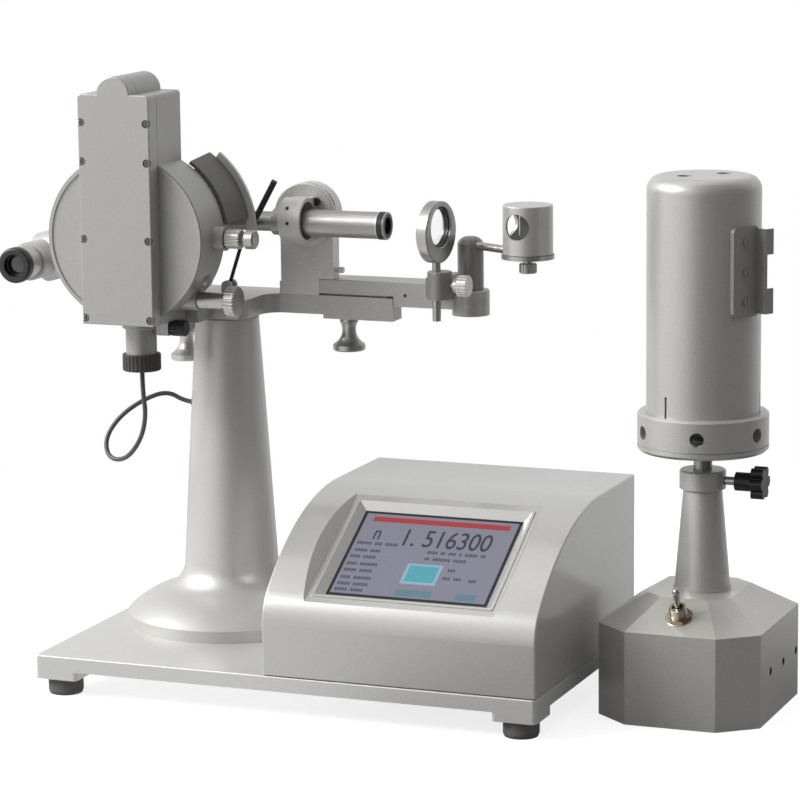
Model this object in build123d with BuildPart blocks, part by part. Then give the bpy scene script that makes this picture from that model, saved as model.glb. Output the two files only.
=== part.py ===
from build123d import *
import os
from math import cos, pi, radians, sin, sqrt, tan

os.makedirs("parts", exist_ok=True)

# A V-prism refractometer with its own lamp. Millimetres, +X right, +Y back, +Z up.
# It is drawn from the bench under the middle of the base plate. The export at the
# end moves it, so that the origin is under the middle of the whole set.

# Base plate and feet
BASE_W = 390.0
BASE_D = 246.0
PLATE_T = 11.2
PAD_T = 6.6
PAD_W = 33.0
FOOT_H = 12.8
FOOT_R = 13.0
FOOT_INSET = 16.5
PLATE_TOP = FOOT_H + PAD_T + PLATE_T

# Column
COL_X = -103.0
COL_Y = 27.0
COL_H = 235.4
COL_FLANGE_R = 80.0
COL_RIM_H = 9.0
COL_WAIST_R = 35.8
COL_WAIST_H = 45.5
COL_TOP_R = 24.0
COL_TOP = PLATE_TOP + COL_H

# Cross arm: the casting on the column and the arm to its right
ARM_T = 14.5
ARM_TOP = COL_TOP + ARM_T
ARM_D = 26.0
ARM_Y0 = 48.0
ARM_Y1 = ARM_Y0 + ARM_D
ARM_X0 = -166.0
ARM_X1 = 23.0
HEAD_X1 = -78.0
HEAD_Y0 = 3.0
ARM_PAD_X0 = -33.3
ARM_PAD_T = 3.0
ARM_CORNER_R = 10.0
REAR_BOSS_X = -153.0
REAR_BOSS_H = 17.0
CLAMP_X = -17.8
CLAMP_Y = ARM_Y0 + ARM_D / 2

# Turning axis of the telescope, which is also the middle of the drum
AXIS_X = -143.0
AXIS_Z = COL_TOP + 66.7
SHAFT_R = 6.0
BEARING_R = 11.0
BEARING_W = 7.0
BEARING_HOUSING_R = 16.0
BEARING_Y1 = 2.0
WEB_T = 14.0

# Drum and encoder housing
DRUM_R = 62.0
DRUM_Y0 = -63.0
DRUM_Y1 = -23.5
DRUM_WALL = 4.0
BOX_W = 57.0
BOX_Z0 = AXIS_Z - DRUM_R + 0.4
BOX_Z1 = AXIS_Z + 106.8
ARCH_R = 11.5
BOX_CORNER_R = 3.0
COVER_T = 13.5
COVER_GAP = 0.4
BOX_SCREW_DX = 52.0
BOX_SCREW_Z = (BOX_Z0 + 4.6, AXIS_Z + 1.1, AXIS_Z + 57.9, BOX_Z1 - 20.5)
BOX_SCREW_R = 2.4

# Small knobs on the drum and the signal connector below it
CLAMP_KNOB_Y = -37.0
SLOW_RISE = 15.7
SLOW_Z = AXIS_Z - DRUM_R + SLOW_RISE
SLOW_COLLAR_R = 6.0
# the knob starts just clear of the drum's wall at the height of its collar's top
SLOW_TOP = SLOW_RISE + SLOW_COLLAR_R
SLOW_REACH = sqrt(SLOW_TOP * (2 * DRUM_R - SLOW_TOP)) - 0.11592
FINE_Z = BOX_Z0 - 6.4
FINE_X = -119.0
CONN_Y = -39.0
CONN_R = 13.9
CONN_Z = AXIS_Z - DRUM_R - 0.5
FINE_LUG = FINE_X - (AXIS_X + CONN_R + 0.8)

# Optical axis of the collimator, lens and lamp mirror, along X
OPT_Y = COL_Y
OPT_Z = AXIS_Z + 5.2

# Running and seating clearances
RUN = 0.05
SEAT = 0.3

# Collimator
TUBE_R = 10.0
TUBE_X1 = 22.8
BARREL_R = 7.4
BARREL_X0 = -115.0
BARREL_X1 = -62.0
SLIT_CAP_L = 5.5
SLIT_CAP_R = TUBE_R + 0.4
SLIT_W = 1.2
SLIT_H = 9.0
SLEEVE_X0 = -53.0
SLEEVE_X1 = -36.0
SLEEVE_R = 17.0
SLEEVE_BORE_R = 14.25
SLEEVE_Z = OPT_Z + 1.4
COLL_X = -45.6
COLL_Z = OPT_Z + 3.4
COLL_HEAD_R = 24.5
COLL_FLANGE_T = 5.2
SPIGOT_R = 15.0
SPIGOT_L = 10.0
POST_X0 = -67.3
POST_X1 = -24.7
POST_D = 12.0
POST_FOOT_T = 9.5

# Rail
RAIL_X0 = -36.5
RAIL_X1 = 64.0
RAIL_T = 10.8
RAIL_GAP = 1.6
RAIL_Z0 = ARM_TOP + RAIL_GAP
RAIL_Z1 = RAIL_Z0 + RAIL_T

# Lens and its carrier
LENS_X = 66.2
LENS_R = 22.8
LENS_T = 8.8
LENS_OPEN_R = 15.0
LENS_DROP = 3.0
LENS_YAW = -8.0
STEM_R = 3.1
CARRIER_X = 68.7
CARRIER_R = 9.1
CARRIER_Z0 = RAIL_Z0 + 3.5
CARRIER_H = 20.4
STEM_Z0 = CARRIER_Z0 - 16.7
CARRIER_X0 = 51.5
CARRIER_CAP_T = 5.0
SADDLE_GAP = 0.3

# Lamp mirror on its swinging post
TURRET_POST_X = 81.5
TURRET_POST_Y = 58.0
TURRET_BOSS_R = 14.0
TURRET_BOSS_Z0 = COL_TOP + 4.0
TURRET_BOSS_Z1 = RAIL_Z0 + 6.9
TURRET_BAR_Z0 = COL_TOP + 8.5
TURRET_POST_R = 9.7
TURRET_X = 137.5
TURRET_R = 18.3
TURRET_Z0 = OPT_Z - 15.9
TURRET_Z1 = OPT_Z + 19.8
TURRET_POST_TOP = TURRET_Z0 + 6.1
TURRET_WALL = 2.0
TURRET_PORT_R = 9.5
TURRET_PORT_Z = OPT_Z + 4.9
TURRET_TURN = -9.0
TURRET_FLANGE_R = 19.3
TURRET_FLANGE_T = 3.6
ROD_R = 3.0

# Telescope, at rest this many degrees below the horizontal
TELE_DROP = 14.6
TELE_R = 16.0
TELE_WALL = 2.0
TELE_D0 = 30.0
TELE_D1 = 97.2
ELBOW_D = 112.0
ELBOW_R = 19.0
ELBOW_L = 25.8
ARM_PLATE_T = 5.2
ARM_PLATE_Y = 3.3
EYE_BRANCH_R = 14.5
EYE_TUBE_R = 12.4
EYE_BRANCH_Y = -8.0
EYECUP_R = 13.5
EYECUP_Y0 = -32.0
EYECUP_L = 6.5

# Hand lever, in a fork on the head casting
LEVER_X = -94.7
LEVER_Y = 14.0
LEVER_Z = ARM_TOP + 9.9
LEVER_BEND = (-85.4, LEVER_Z + 27.8)
LEVER_TOP = (-56.4, LEVER_Z + 79.4)
LEVER_GRIP_L = 32.0
LEVER_HUB_R = 4.0
LEVER_PIN_R = 1.5
FORK_GAP = 6.0
FORK_CHEEK = 3.0

# Prism, its seat and its hood
PRISM_W = 30.0
PRISM_D = 20.0
PRISM_H = 30.0
PRISM_Z0 = AXIS_Z - 16.1
PRISM_NOTCH = 12.0
SEAT_R = 18.0
SEAT_T = 5.0
HOOD_Y0 = -22.0
HOOD_Y1 = 7.0
HOOD_R0 = DRUM_R + 2.5
HOOD_R1 = DRUM_R + 7.0
HOOD_WALL = 2.5
HOOD_A0 = 8.0
HOOD_A1 = 57.0
HOOD_FLANGE_R = HOOD_R1 + 4.5
HOOD_FLANGE_T = 3.0
HOOD_FLANGE_A0 = -5.0
HOOD_FLANGE_A1 = 52.0

# Console
CON_X0 = -12.5
CON_X1 = BASE_W / 2
CON_D = 225.0
CON_H = 117.2
CON_WALL = 3.0
CON_FRONT_H = 38.0
CON_NOSE_R = 32.0
CON_TURN = 43.8
CON_SEAM = 0.8
SCREEN_X0 = 29.4
SCREEN_W = 122.5
SCREEN_L = 91.0
SCREEN_RISE = 2.6
SCREEN_DEPTH = 4.2
BEZEL_W = 6.2
BEZEL_LIP = 1.6
BEZEL_T = 0.8
SCREEN_SLOPE = 29.5
SCREEN_Y = -BASE_D / 2 + 15.0
SCREEN_Z = PLATE_TOP + 61.2
POCKET_X0 = 18.5
POCKET_X1 = 162.0
POCKET_DRAFT = 33.0
POCKET_TOP = 106.0
POCKET_BOTTOM = -22.0

# Lamp
LAMP_X = BASE_W / 2 + 76.5
LAMP_POST_X = LAMP_X + 2.0
LAMP_Y = 16.0
LAMP_W = 120.0
LAMP_D = 145.0
LAMP_SIDE_H = 67.5
LAMP_TOP_H = 86.5
LAMP_CUT_X = 26.5
LAMP_CUT_Y = 22.0
LAMP_BEVEL = 36.0
LAMP_POST_R0 = 20.0
LAMP_POST_R1 = 14.0
LAMP_POST_Z1 = 158.5
LAMP_COLLAR_R = 16.7
LAMP_COLLAR_H = 15.0
LAMP_STEM_R = 6.7
LAMP_STEM_IN = 62.0
LAMP_RING_Z0 = 188.0
LAMP_RING_H = 28.0
LAMP_SHELL_R = 40.7
LAMP_RING_R = LAMP_SHELL_R + 6.3
LAMP_SHELL_TOP = 385.0
LAMP_WALL = 1.8
LAMP_SHOULDER_R = 10.0
VENT_REACH = 16.0
VENT_TURN = 46.0


def upright(x, y, z=0.0):
    # A plane that faces the front, with its x to the right and its y upward
    return Plane(origin=(x, y, z), x_dir=(1, 0, 0), z_dir=(0, -1, 0))


def level(x, y, z):
    # A plane that faces up, with its x to the right
    return Plane(origin=(x, y, z), x_dir=(1, 0, 0), z_dir=(0, 0, 1))


def facing_right(x, y, z):
    # A plane that faces +X, with its x towards the back and its y upward
    return Plane(origin=(x, y, z), x_dir=(0, 1, 0), z_dir=(1, 0, 0))


pieces = []


def save(piece, name):
    piece.part.label = name
    pieces.append(piece.part)


def knurled(plane, radius, length, grooves, depth):
    # A knob's gripping part: a cylinder with bevelled rims and grooves along it
    with BuildPart() as knob:
        with BuildSketch(plane):
            Circle(radius)
        extrude(amount=length)
        chamfer(knob.edges().filter_by(GeomType.CIRCLE), 0.7)
        with BuildSketch(plane):
            with PolarLocations(radius, grooves):
                Circle(depth)
        extrude(amount=length, mode=Mode.SUBTRACT)
    return knob


# Base plate: a thick plate with a pad under each corner
with BuildPart() as base_plate:
    with BuildSketch(Plane.XY.offset(FOOT_H + PAD_T)):
        RectangleRounded(BASE_W, BASE_D, 3)
    extrude(amount=PLATE_T)
    fillet(base_plate.faces().sort_by(Axis.Z)[-1].edges(), 1.2)
    with BuildSketch(Plane.XY.offset(FOOT_H)):
        with GridLocations(BASE_W - PAD_W, BASE_D - PAD_W, 2, 2):
            RectangleRounded(PAD_W, PAD_W, 3)
    extrude(amount=PAD_T)
save(base_plate, "base_plate")

# Rubber feet: round, a little narrower at the bench
with BuildPart() as rubber_feet:
    with BuildSketch():
        with GridLocations(BASE_W - 2 * FOOT_INSET, BASE_D - 2 * FOOT_INSET, 2, 2):
            Circle(FOOT_R)
    extrude(amount=FOOT_H)
    chamfer(rubber_feet.faces().sort_by(Axis.Z)[:4].edges(), length=2.5, length2=1.0)
save(rubber_feet, "rubber_feet")

# Column: a domed round flange that sweeps up into a long taper
CABLE_HOLE_Z = 197.0
CABLE_R = 1.75
GROMMET_R = 4.2
GROMMET_L = 6.0
COL_AXIS = Axis((COL_X, COL_Y, 0), (0, 0, 1))
with BuildPart() as column:
    with BuildSketch(upright(COL_X, COL_Y, PLATE_TOP)):
        with BuildLine():
            Polyline((0, COL_H), (0, 0), (COL_FLANGE_R, 0), (COL_FLANGE_R, COL_RIM_H))
            ThreePointArc((COL_FLANGE_R, COL_RIM_H), (68.5, 18.5), (51, 27))
            ThreePointArc((51, 27), (40.8, 33.5), (COL_WAIST_R, COL_WAIST_H))
            Line((COL_WAIST_R, COL_WAIST_H), (COL_TOP_R, COL_H - 1.5))
            Line((COL_TOP_R, COL_H - 1.5), (COL_TOP_R - 1.5, COL_H))
            Line((COL_TOP_R - 1.5, COL_H), (0, COL_H))
        make_face()
    revolve(axis=COL_AXIS)
    with BuildSketch(facing_right(COL_X, COL_Y, CABLE_HOLE_Z)):
        Circle(GROMMET_R)
    extrude(amount=-COL_WAIST_R, mode=Mode.SUBTRACT)
save(column, "column")

# The column's radius at the cable hole sets where the grommet sits
COL_SLOPE = (COL_WAIST_R - COL_TOP_R) / (COL_H - 1.5 - COL_WAIST_H)
COL_HOLE_R = COL_TOP_R + COL_SLOPE * (COL_TOP - 1.5 - CABLE_HOLE_Z)
GROMMET_X = COL_X - COL_HOLE_R - 1.6

# Grommet: a rubber ring in the column's cable hole, with a lip outside
with BuildPart() as cable_grommet:
    with BuildSketch(facing_right(GROMMET_X, COL_Y, CABLE_HOLE_Z)):
        Circle(GROMMET_R - 0.02)
        Circle(CABLE_R, mode=Mode.SUBTRACT)
    extrude(amount=GROMMET_L + 1.6)
save(cable_grommet, "cable_grommet")

# Console: one curved shell, with a flat pocket let into its slope for the screen
CON_W = CON_X1 - CON_X0
CON_Z0 = PLATE_TOP + CON_SEAM
CON_Y0 = -BASE_D / 2
CON_Z1 = PLATE_TOP + CON_H


def console_profile(inset):
    # The side view: an upright front, two arcs over to a level top, a plain back
    front_z = PLATE_TOP + CON_FRONT_H
    rise = CON_Z1 - front_z
    share = sin(radians(CON_TURN))
    big_r = (rise - CON_NOSE_R * share) / (1 - share)
    with BuildLine() as outline:
        front = Line((CON_Y0 + inset, CON_Z0), (CON_Y0 + inset, front_z))
        nose = JernArc(front @ 1, (0, 1), CON_NOSE_R - inset, -CON_TURN)
        brow = JernArc(nose @ 1, nose % 1, big_r - inset, CON_TURN - 90)
        Polyline(
            brow @ 1,
            (CON_Y0 + CON_D - inset, CON_Z1 - inset),
            (CON_Y0 + CON_D - inset, CON_Z0),
            (CON_Y0 + inset, CON_Z0),
        )
    return outline


SLOPE = Plane(
    origin=((POCKET_X0 + POCKET_X1) / 2, SCREEN_Y, SCREEN_Z),
    x_dir=(1, 0, 0),
    z_dir=(0, -sin(radians(SCREEN_SLOPE)), cos(radians(SCREEN_SLOPE))),
)
POCKET_W = POCKET_X1 - POCKET_X0
POCKET_MID = (POCKET_TOP + POCKET_BOTTOM) / 2
POCKET_L = POCKET_TOP - POCKET_BOTTOM
SCREEN_DX = SCREEN_X0 + SCREEN_W / 2 - (POCKET_X0 + POCKET_X1) / 2
SCREEN_MID = SCREEN_RISE + SCREEN_L / 2

with BuildPart() as console_room:
    with BuildSketch(Plane.YZ.offset(CON_X0 + CON_WALL)):
        add(console_profile(CON_WALL))
        make_face()
    extrude(amount=CON_W - 2 * CON_WALL)
    with BuildSketch(SLOPE.offset(-CON_WALL)):
        with Locations((0, POCKET_MID)):
            Rectangle(POCKET_W + 2 * CON_WALL, POCKET_L + 40)
    extrude(amount=30, taper=-POCKET_DRAFT, mode=Mode.SUBTRACT)

with BuildPart() as console_shell:
    with BuildSketch(Plane.YZ.offset(CON_X0)):
        add(console_profile(0))
        make_face()
    extrude(amount=CON_W)
    side_edges = console_shell.faces().sort_by(Axis.X)
    fillet(
        (side_edges[0].edges() + side_edges[-1].edges()).filter_by(
            lambda e: e.center().Z > CON_Z0 + 1
        ),
        1.5,
    )
    add(console_room.part, mode=Mode.SUBTRACT)
    with BuildSketch(SLOPE):
        with Locations((0, POCKET_MID)):
            Rectangle(POCKET_W, POCKET_L)
    extrude(amount=25, taper=-POCKET_DRAFT, mode=Mode.SUBTRACT)
    with BuildSketch(SLOPE):
        with Locations((SCREEN_DX, SCREEN_MID)):
            Rectangle(SCREEN_W + 2 * BEZEL_W + 0.2, SCREEN_L + 2 * BEZEL_W + 0.2)
    extrude(amount=-CON_WALL - 1, mode=Mode.SUBTRACT)
save(console_shell, "console_shell")

# Screen bezel: a frame let into the pocket, with faces that slope down to the glass
with BuildPart() as screen_bezel:
    with BuildSketch(SLOPE.offset(-SCREEN_DEPTH)):
        with Locations((SCREEN_DX, SCREEN_MID)):
            Rectangle(SCREEN_W + 2 * BEZEL_W, SCREEN_L + 2 * BEZEL_W)
    extrude(amount=SCREEN_DEPTH)
    with BuildSketch(SLOPE):
        with Locations((SCREEN_DX, SCREEN_MID)):
            RectangleRounded(
                SCREEN_W + 2 * (BEZEL_W + BEZEL_LIP), SCREEN_L + 2 * (BEZEL_W + BEZEL_LIP), 1.5
            )
    extrude(amount=BEZEL_T)
    chamfer(screen_bezel.faces().sort_by(Axis(SLOPE.origin, SLOPE.z_dir))[-1].edges(), 0.3)
    with BuildSketch(SLOPE.offset(-SCREEN_DEPTH)):
        with Locations((SCREEN_DX, SCREEN_MID)):
            Rectangle(SCREEN_W, SCREEN_L)
    with BuildSketch(SLOPE.offset(BEZEL_T)):
        with Locations((SCREEN_DX, SCREEN_MID)):
            Rectangle(SCREEN_W + 2 * BEZEL_W - 1, SCREEN_L + 2 * BEZEL_W - 1)
    loft(mode=Mode.SUBTRACT)
save(screen_bezel, "screen_bezel")

# Display: the flat panel behind the bezel
with BuildPart() as display_panel:
    with BuildSketch(SLOPE.offset(-SCREEN_DEPTH)):
        with Locations((SCREEN_DX, SCREEN_MID)):
            Rectangle(SCREEN_W + 4, SCREEN_L + 4)
    extrude(amount=-2.4)
save(display_panel, "display_panel")

# Cross arm: the head casting on the column, with the optical arm to the right
with BuildPart() as cross_arm:
    with BuildSketch(Plane.XY.offset(COL_TOP)):
        with BuildLine():
            Polyline(
                (ARM_X0, ARM_Y1),
                (ARM_X0, HEAD_Y0),
                (HEAD_X1, HEAD_Y0),
                (HEAD_X1, ARM_Y0),
                (ARM_X1, ARM_Y0),
                (ARM_X1, ARM_Y1),
                (ARM_X0, ARM_Y1),
            )
        make_face()
    extrude(amount=ARM_T)
    inner_corner = cross_arm.edges().filter_by(Axis.Z).sort_by(
        lambda e: (e.center() - Vector(HEAD_X1, ARM_Y0, e.center().Z)).length
    )[0]
    fillet(inner_corner, 14)
    fillet(cross_arm.edges().filter_by(Axis.Z).group_by(Axis.X)[-1].sort_by(Axis.Y)[-1], ARM_CORNER_R)
    outer_corner = cross_arm.edges().filter_by(Axis.Z).sort_by(
        lambda e: (e.center() - Vector(HEAD_X1, HEAD_Y0, e.center().Z)).length
    )[0]
    fillet(outer_corner, 8)
    # thicker pad under the arm, where the clamp screw comes up
    with BuildSketch(Plane.XY.offset(COL_TOP - ARM_PAD_T)) as arm_pad:
        with Locations(((ARM_PAD_X0 + ARM_X1) / 2, CLAMP_Y)):
            Rectangle(ARM_X1 - ARM_PAD_X0, ARM_D)
        fillet(arm_pad.vertices().group_by(Axis.X)[-1].sort_by(Axis.Y)[-1], ARM_CORNER_R)
    extrude(amount=ARM_PAD_T)
    # boss at the rear left, for the second clamp screw
    with BuildSketch(Plane.XY.offset(COL_TOP - REAR_BOSS_H)):
        with Locations((REAR_BOSS_X, CLAMP_Y)):
            Circle(12.5)
    extrude(amount=REAR_BOSS_H)
    with Locations((CLAMP_X, CLAMP_Y, COL_TOP - ARM_PAD_T), (REAR_BOSS_X, CLAMP_Y, COL_TOP - REAR_BOSS_H)):
        Cylinder(3.0 + RUN, 10, align=(Align.CENTER, Align.CENTER, Align.MIN), mode=Mode.SUBTRACT)
    # foot, web and bearing tube that reach forward to the back of the drum
    foot_y0 = DRUM_Y1 + 2.5
    foot_x0 = AXIS_X - 22
    foot_x1 = AXIS_X + 38
    with BuildSketch(Plane.XY.offset(COL_TOP + 0.5)):
        with Locations(((foot_x0 + foot_x1) / 2, (foot_y0 + HEAD_Y0) / 2)):
            Rectangle(foot_x1 - foot_x0, HEAD_Y0 - foot_y0)
    extrude(amount=ARM_T - 1)
    with BuildSketch(Plane.XY.offset(COL_TOP + 0.5)):
        with Locations((AXIS_X, foot_y0 + WEB_T / 2)):
            Rectangle(26, WEB_T)
    extrude(amount=AXIS_Z - COL_TOP - 0.5)
    with BuildSketch(upright(AXIS_X, DRUM_Y1, AXIS_Z)):
        Circle(BEARING_HOUSING_R)
    extrude(amount=-(BEARING_Y1 - DRUM_Y1))
    with BuildSketch(upright(AXIS_X, DRUM_Y1, AXIS_Z)):
        Circle(BEARING_R)
    extrude(amount=-(BEARING_Y1 - DRUM_Y1), mode=Mode.SUBTRACT)
    # fork for the hand lever, with its pin
    fork_w = FORK_GAP + 2 * FORK_CHEEK
    with BuildSketch(Plane.XY.offset(ARM_TOP)):
        with Locations((LEVER_X, LEVER_Y)):
            Rectangle(8, fork_w)
    extrude(amount=LEVER_Z - ARM_TOP)
    with BuildSketch(upright(LEVER_X, LEVER_Y - fork_w / 2, LEVER_Z)):
        Circle(LEVER_HUB_R)
    extrude(amount=-fork_w)
    with BuildSketch(Plane.XY.offset(LEVER_Z - LEVER_HUB_R - 1)):
        with Locations((LEVER_X, LEVER_Y)):
            Rectangle(14, FORK_GAP)
    extrude(amount=20, mode=Mode.SUBTRACT)
    with BuildSketch(upright(LEVER_X, LEVER_Y - fork_w / 2 - 0.6, LEVER_Z)):
        Circle(LEVER_PIN_R)
    extrude(amount=-fork_w - 1.2)
save(cross_arm, "cross_arm")


# Clamp knobs: a waisted neck that flares into a knurled disc
CLAMP_L = 25.0
CLAMP_DISC_R = 12.2


def clamp_knob(x, z_top):
    with BuildPart() as knob:
        with BuildSketch(upright(x, CLAMP_Y, z_top - SEAT)):
            with BuildLine():
                Polyline((0, 9), (3.0, 9), (3.0, 0), (7.0, 0), (7.0, -3))
                ThreePointArc((7.0, -3), (5.2, -9), (CLAMP_DISC_R - 2, -CLAMP_L + 6))
                Line((CLAMP_DISC_R - 2, -CLAMP_L + 6), (CLAMP_DISC_R, -CLAMP_L + 4.5))
                Line((CLAMP_DISC_R, -CLAMP_L + 4.5), (CLAMP_DISC_R, -CLAMP_L + 1))
                Line((CLAMP_DISC_R, -CLAMP_L + 1), (CLAMP_DISC_R - 1, -CLAMP_L))
                Line((CLAMP_DISC_R - 1, -CLAMP_L), (0, -CLAMP_L))
                Line((0, -CLAMP_L), (0, 9))
            make_face()
        revolve(axis=Axis((x, CLAMP_Y, 0), (0, 0, 1)))
    return knob


arm_clamp_knob = clamp_knob(CLAMP_X, COL_TOP - ARM_PAD_T)
save(arm_clamp_knob, "arm_clamp_knob")
rear_clamp_knob = clamp_knob(REAR_BOSS_X, COL_TOP - REAR_BOSS_H)
save(rear_clamp_knob, "rear_clamp_knob")

# Rail: a flat bar on the arm, on a narrower foot that leaves a dark gap
with BuildPart() as rail_bar:
    with BuildSketch(Plane.XY.offset(RAIL_Z0)):
        with Locations(((RAIL_X0 + RAIL_X1) / 2, CLAMP_Y)):
            Rectangle(RAIL_X1 - RAIL_X0, ARM_D)
    extrude(amount=RAIL_T)
    chamfer(rail_bar.faces().sort_by(Axis.Z)[-1].edges(), 0.6)
    with BuildSketch(Plane.XY.offset(ARM_TOP)):
        with Locations(((RAIL_X0 + ARM_X1 - 6) / 2, CLAMP_Y)):
            Rectangle(ARM_X1 - 6 - RAIL_X0, ARM_D - 8)
    extrude(amount=RAIL_GAP)
save(rail_bar, "rail_bar")

# Collimator post: an upright with a round top, bored for the turning head
with BuildPart() as collimator_post:
    with BuildSketch(upright(COLL_X, ARM_Y0, ARM_TOP)):
        with BuildLine():
            Polyline(
                (POST_X0 - COLL_X, COLL_Z - ARM_TOP),
                (POST_X0 - COLL_X, 0),
                (RAIL_X0 - COLL_X - 0.01, 0),
                (RAIL_X0 - COLL_X - 0.01, RAIL_Z1 - ARM_TOP),
                (POST_X1 - COLL_X, RAIL_Z1 - ARM_TOP),
                (POST_X1 - COLL_X, COLL_Z - ARM_TOP),
                (POST_X0 - COLL_X, COLL_Z - ARM_TOP),
            )
        make_face()
        with Locations((0, COLL_Z - ARM_TOP)):
            Circle(COLL_HEAD_R - 0.4)
            Circle(SPIGOT_R + RUN, mode=Mode.SUBTRACT)
    extrude(amount=-POST_D)
    # a groove in the round rim, just behind the turning head
    with BuildSketch(upright(COLL_X, ARM_Y0 - 0.1, COLL_Z)):
        Circle(COLL_HEAD_R + 3)
        Circle(COLL_HEAD_R - 1.8, mode=Mode.SUBTRACT)
        with Locations((0, -COLL_HEAD_R)):
            Rectangle(4 * COLL_HEAD_R, 3 * COLL_HEAD_R - 10, mode=Mode.SUBTRACT)
    extrude(amount=-1.7, mode=Mode.SUBTRACT)
    # the step between the post and its foot
    with BuildSketch(Plane.XY.offset(ARM_TOP)):
        with Locations((POST_X0 - 0.4, ARM_Y0 + POST_D / 2)):
            Rectangle(1.6, POST_D)
    extrude(amount=POST_FOOT_T)
    # a locking pin in the right side
    with BuildSketch(facing_right(POST_X1 - 1, ARM_Y0 + POST_D / 2, RAIL_Z1 + 6.6)):
        Circle(1.5)
    extrude(amount=4)
    with BuildSketch(facing_right(POST_X1 + 2.4, ARM_Y0 + POST_D / 2, RAIL_Z1 + 6.6)):
        Circle(2.3)
    extrude(amount=3.6)
save(collimator_post, "collimator_post")

# Collimator head: a round flange that turns in the post and carries the sleeve
with BuildPart() as collimator_head:
    with BuildSketch(upright(COLL_X, ARM_Y0 - SEAT - COLL_FLANGE_T, COLL_Z)):
        Circle(COLL_HEAD_R)
    extrude(amount=-COLL_FLANGE_T)
    chamfer(collimator_head.edges().sort_by(Axis.Y)[0], 1.2)
    with BuildSketch(upright(COLL_X, ARM_Y0 - SEAT - 0.01, COLL_Z)):
        Circle(SPIGOT_R)
    extrude(amount=-SPIGOT_L)
    with BuildSketch(facing_right(SLEEVE_X0, OPT_Y, SLEEVE_Z)):
        Circle(SLEEVE_R)
    extrude(amount=SLEEVE_X1 - SLEEVE_X0)
    with BuildSketch(upright((SLEEVE_X0 + SLEEVE_X1) / 2, OPT_Y, SLEEVE_Z)):
        Rectangle(SLEEVE_X1 - SLEEVE_X0, 2 * SLEEVE_R - 2)
    extrude(amount=-(ARM_Y0 - SEAT - 1 - OPT_Y))
    with BuildSketch(facing_right(SLEEVE_X0 + 6, OPT_Y, SLEEVE_Z)):
        Circle(SLEEVE_BORE_R)
    extrude(amount=40, mode=Mode.SUBTRACT)
    with BuildSketch(facing_right(SLEEVE_X0, OPT_Y, OPT_Z)):
        Circle(TUBE_R + RUN)
    extrude(amount=8, mode=Mode.SUBTRACT)
    fillet(collimator_head.edges().filter_by(GeomType.CIRCLE).group_by(Axis.X)[0].sort_by(SortBy.RADIUS)[-1], 2.5)
save(collimator_head, "collimator_head")

# Collimator tube, with its narrower objective barrel
with BuildPart() as collimator_tube:
    with BuildSketch(upright(0, OPT_Y, OPT_Z)):
        with BuildLine():
            Polyline(
                (BARREL_X0, BARREL_R - 1.5),
                (BARREL_X0, BARREL_R),
                (BARREL_X1, BARREL_R),
                (BARREL_X1, TUBE_R),
                (TUBE_X1, TUBE_R),
                (TUBE_X1, TUBE_R - 2.0),
                (BARREL_X1 + 2, TUBE_R - 2.0),
                (BARREL_X1 + 2, BARREL_R - 1.5),
                (BARREL_X0, BARREL_R - 1.5),
            )
        make_face()
    revolve(axis=Axis((0, OPT_Y, OPT_Z), (1, 0, 0)))
save(collimator_tube, "collimator_tube")

# Collimator lens, just inside the barrel's left end
with BuildPart() as collimator_lens:
    with BuildSketch(facing_right(BARREL_X0 + 3, OPT_Y, OPT_Z)):
        Circle(BARREL_R - 1.5)
    extrude(amount=3)
save(collimator_lens, "collimator_lens")

# Slit cap: a turned cap on the tube's end with an upright slit
with BuildPart() as slit_cap:
    with BuildSketch(facing_right(TUBE_X1, OPT_Y, OPT_Z)):
        Circle(SLIT_CAP_R)
    extrude(amount=SLIT_CAP_L)
    with BuildSketch(facing_right(TUBE_X1 - 6, OPT_Y, OPT_Z)):
        Circle(TUBE_R - 2.0 - RUN)
    extrude(amount=6.01)
    chamfer(slit_cap.edges().sort_by(Axis.X)[-1], 0.8)
    with BuildSketch(facing_right(TUBE_X1 + SLIT_CAP_L, OPT_Y, OPT_Z)):
        Circle(6.5)
    extrude(amount=-3, mode=Mode.SUBTRACT)
    with BuildSketch(facing_right(TUBE_X1 - 6, OPT_Y, OPT_Z)):
        Circle(5.5)
    extrude(amount=SLIT_CAP_L + 1.5, mode=Mode.SUBTRACT)
    with BuildSketch(facing_right(TUBE_X1, OPT_Y, OPT_Z)):
        Rectangle(SLIT_W, SLIT_H)
    extrude(amount=20, mode=Mode.SUBTRACT)
save(slit_cap, "slit_cap")

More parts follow.
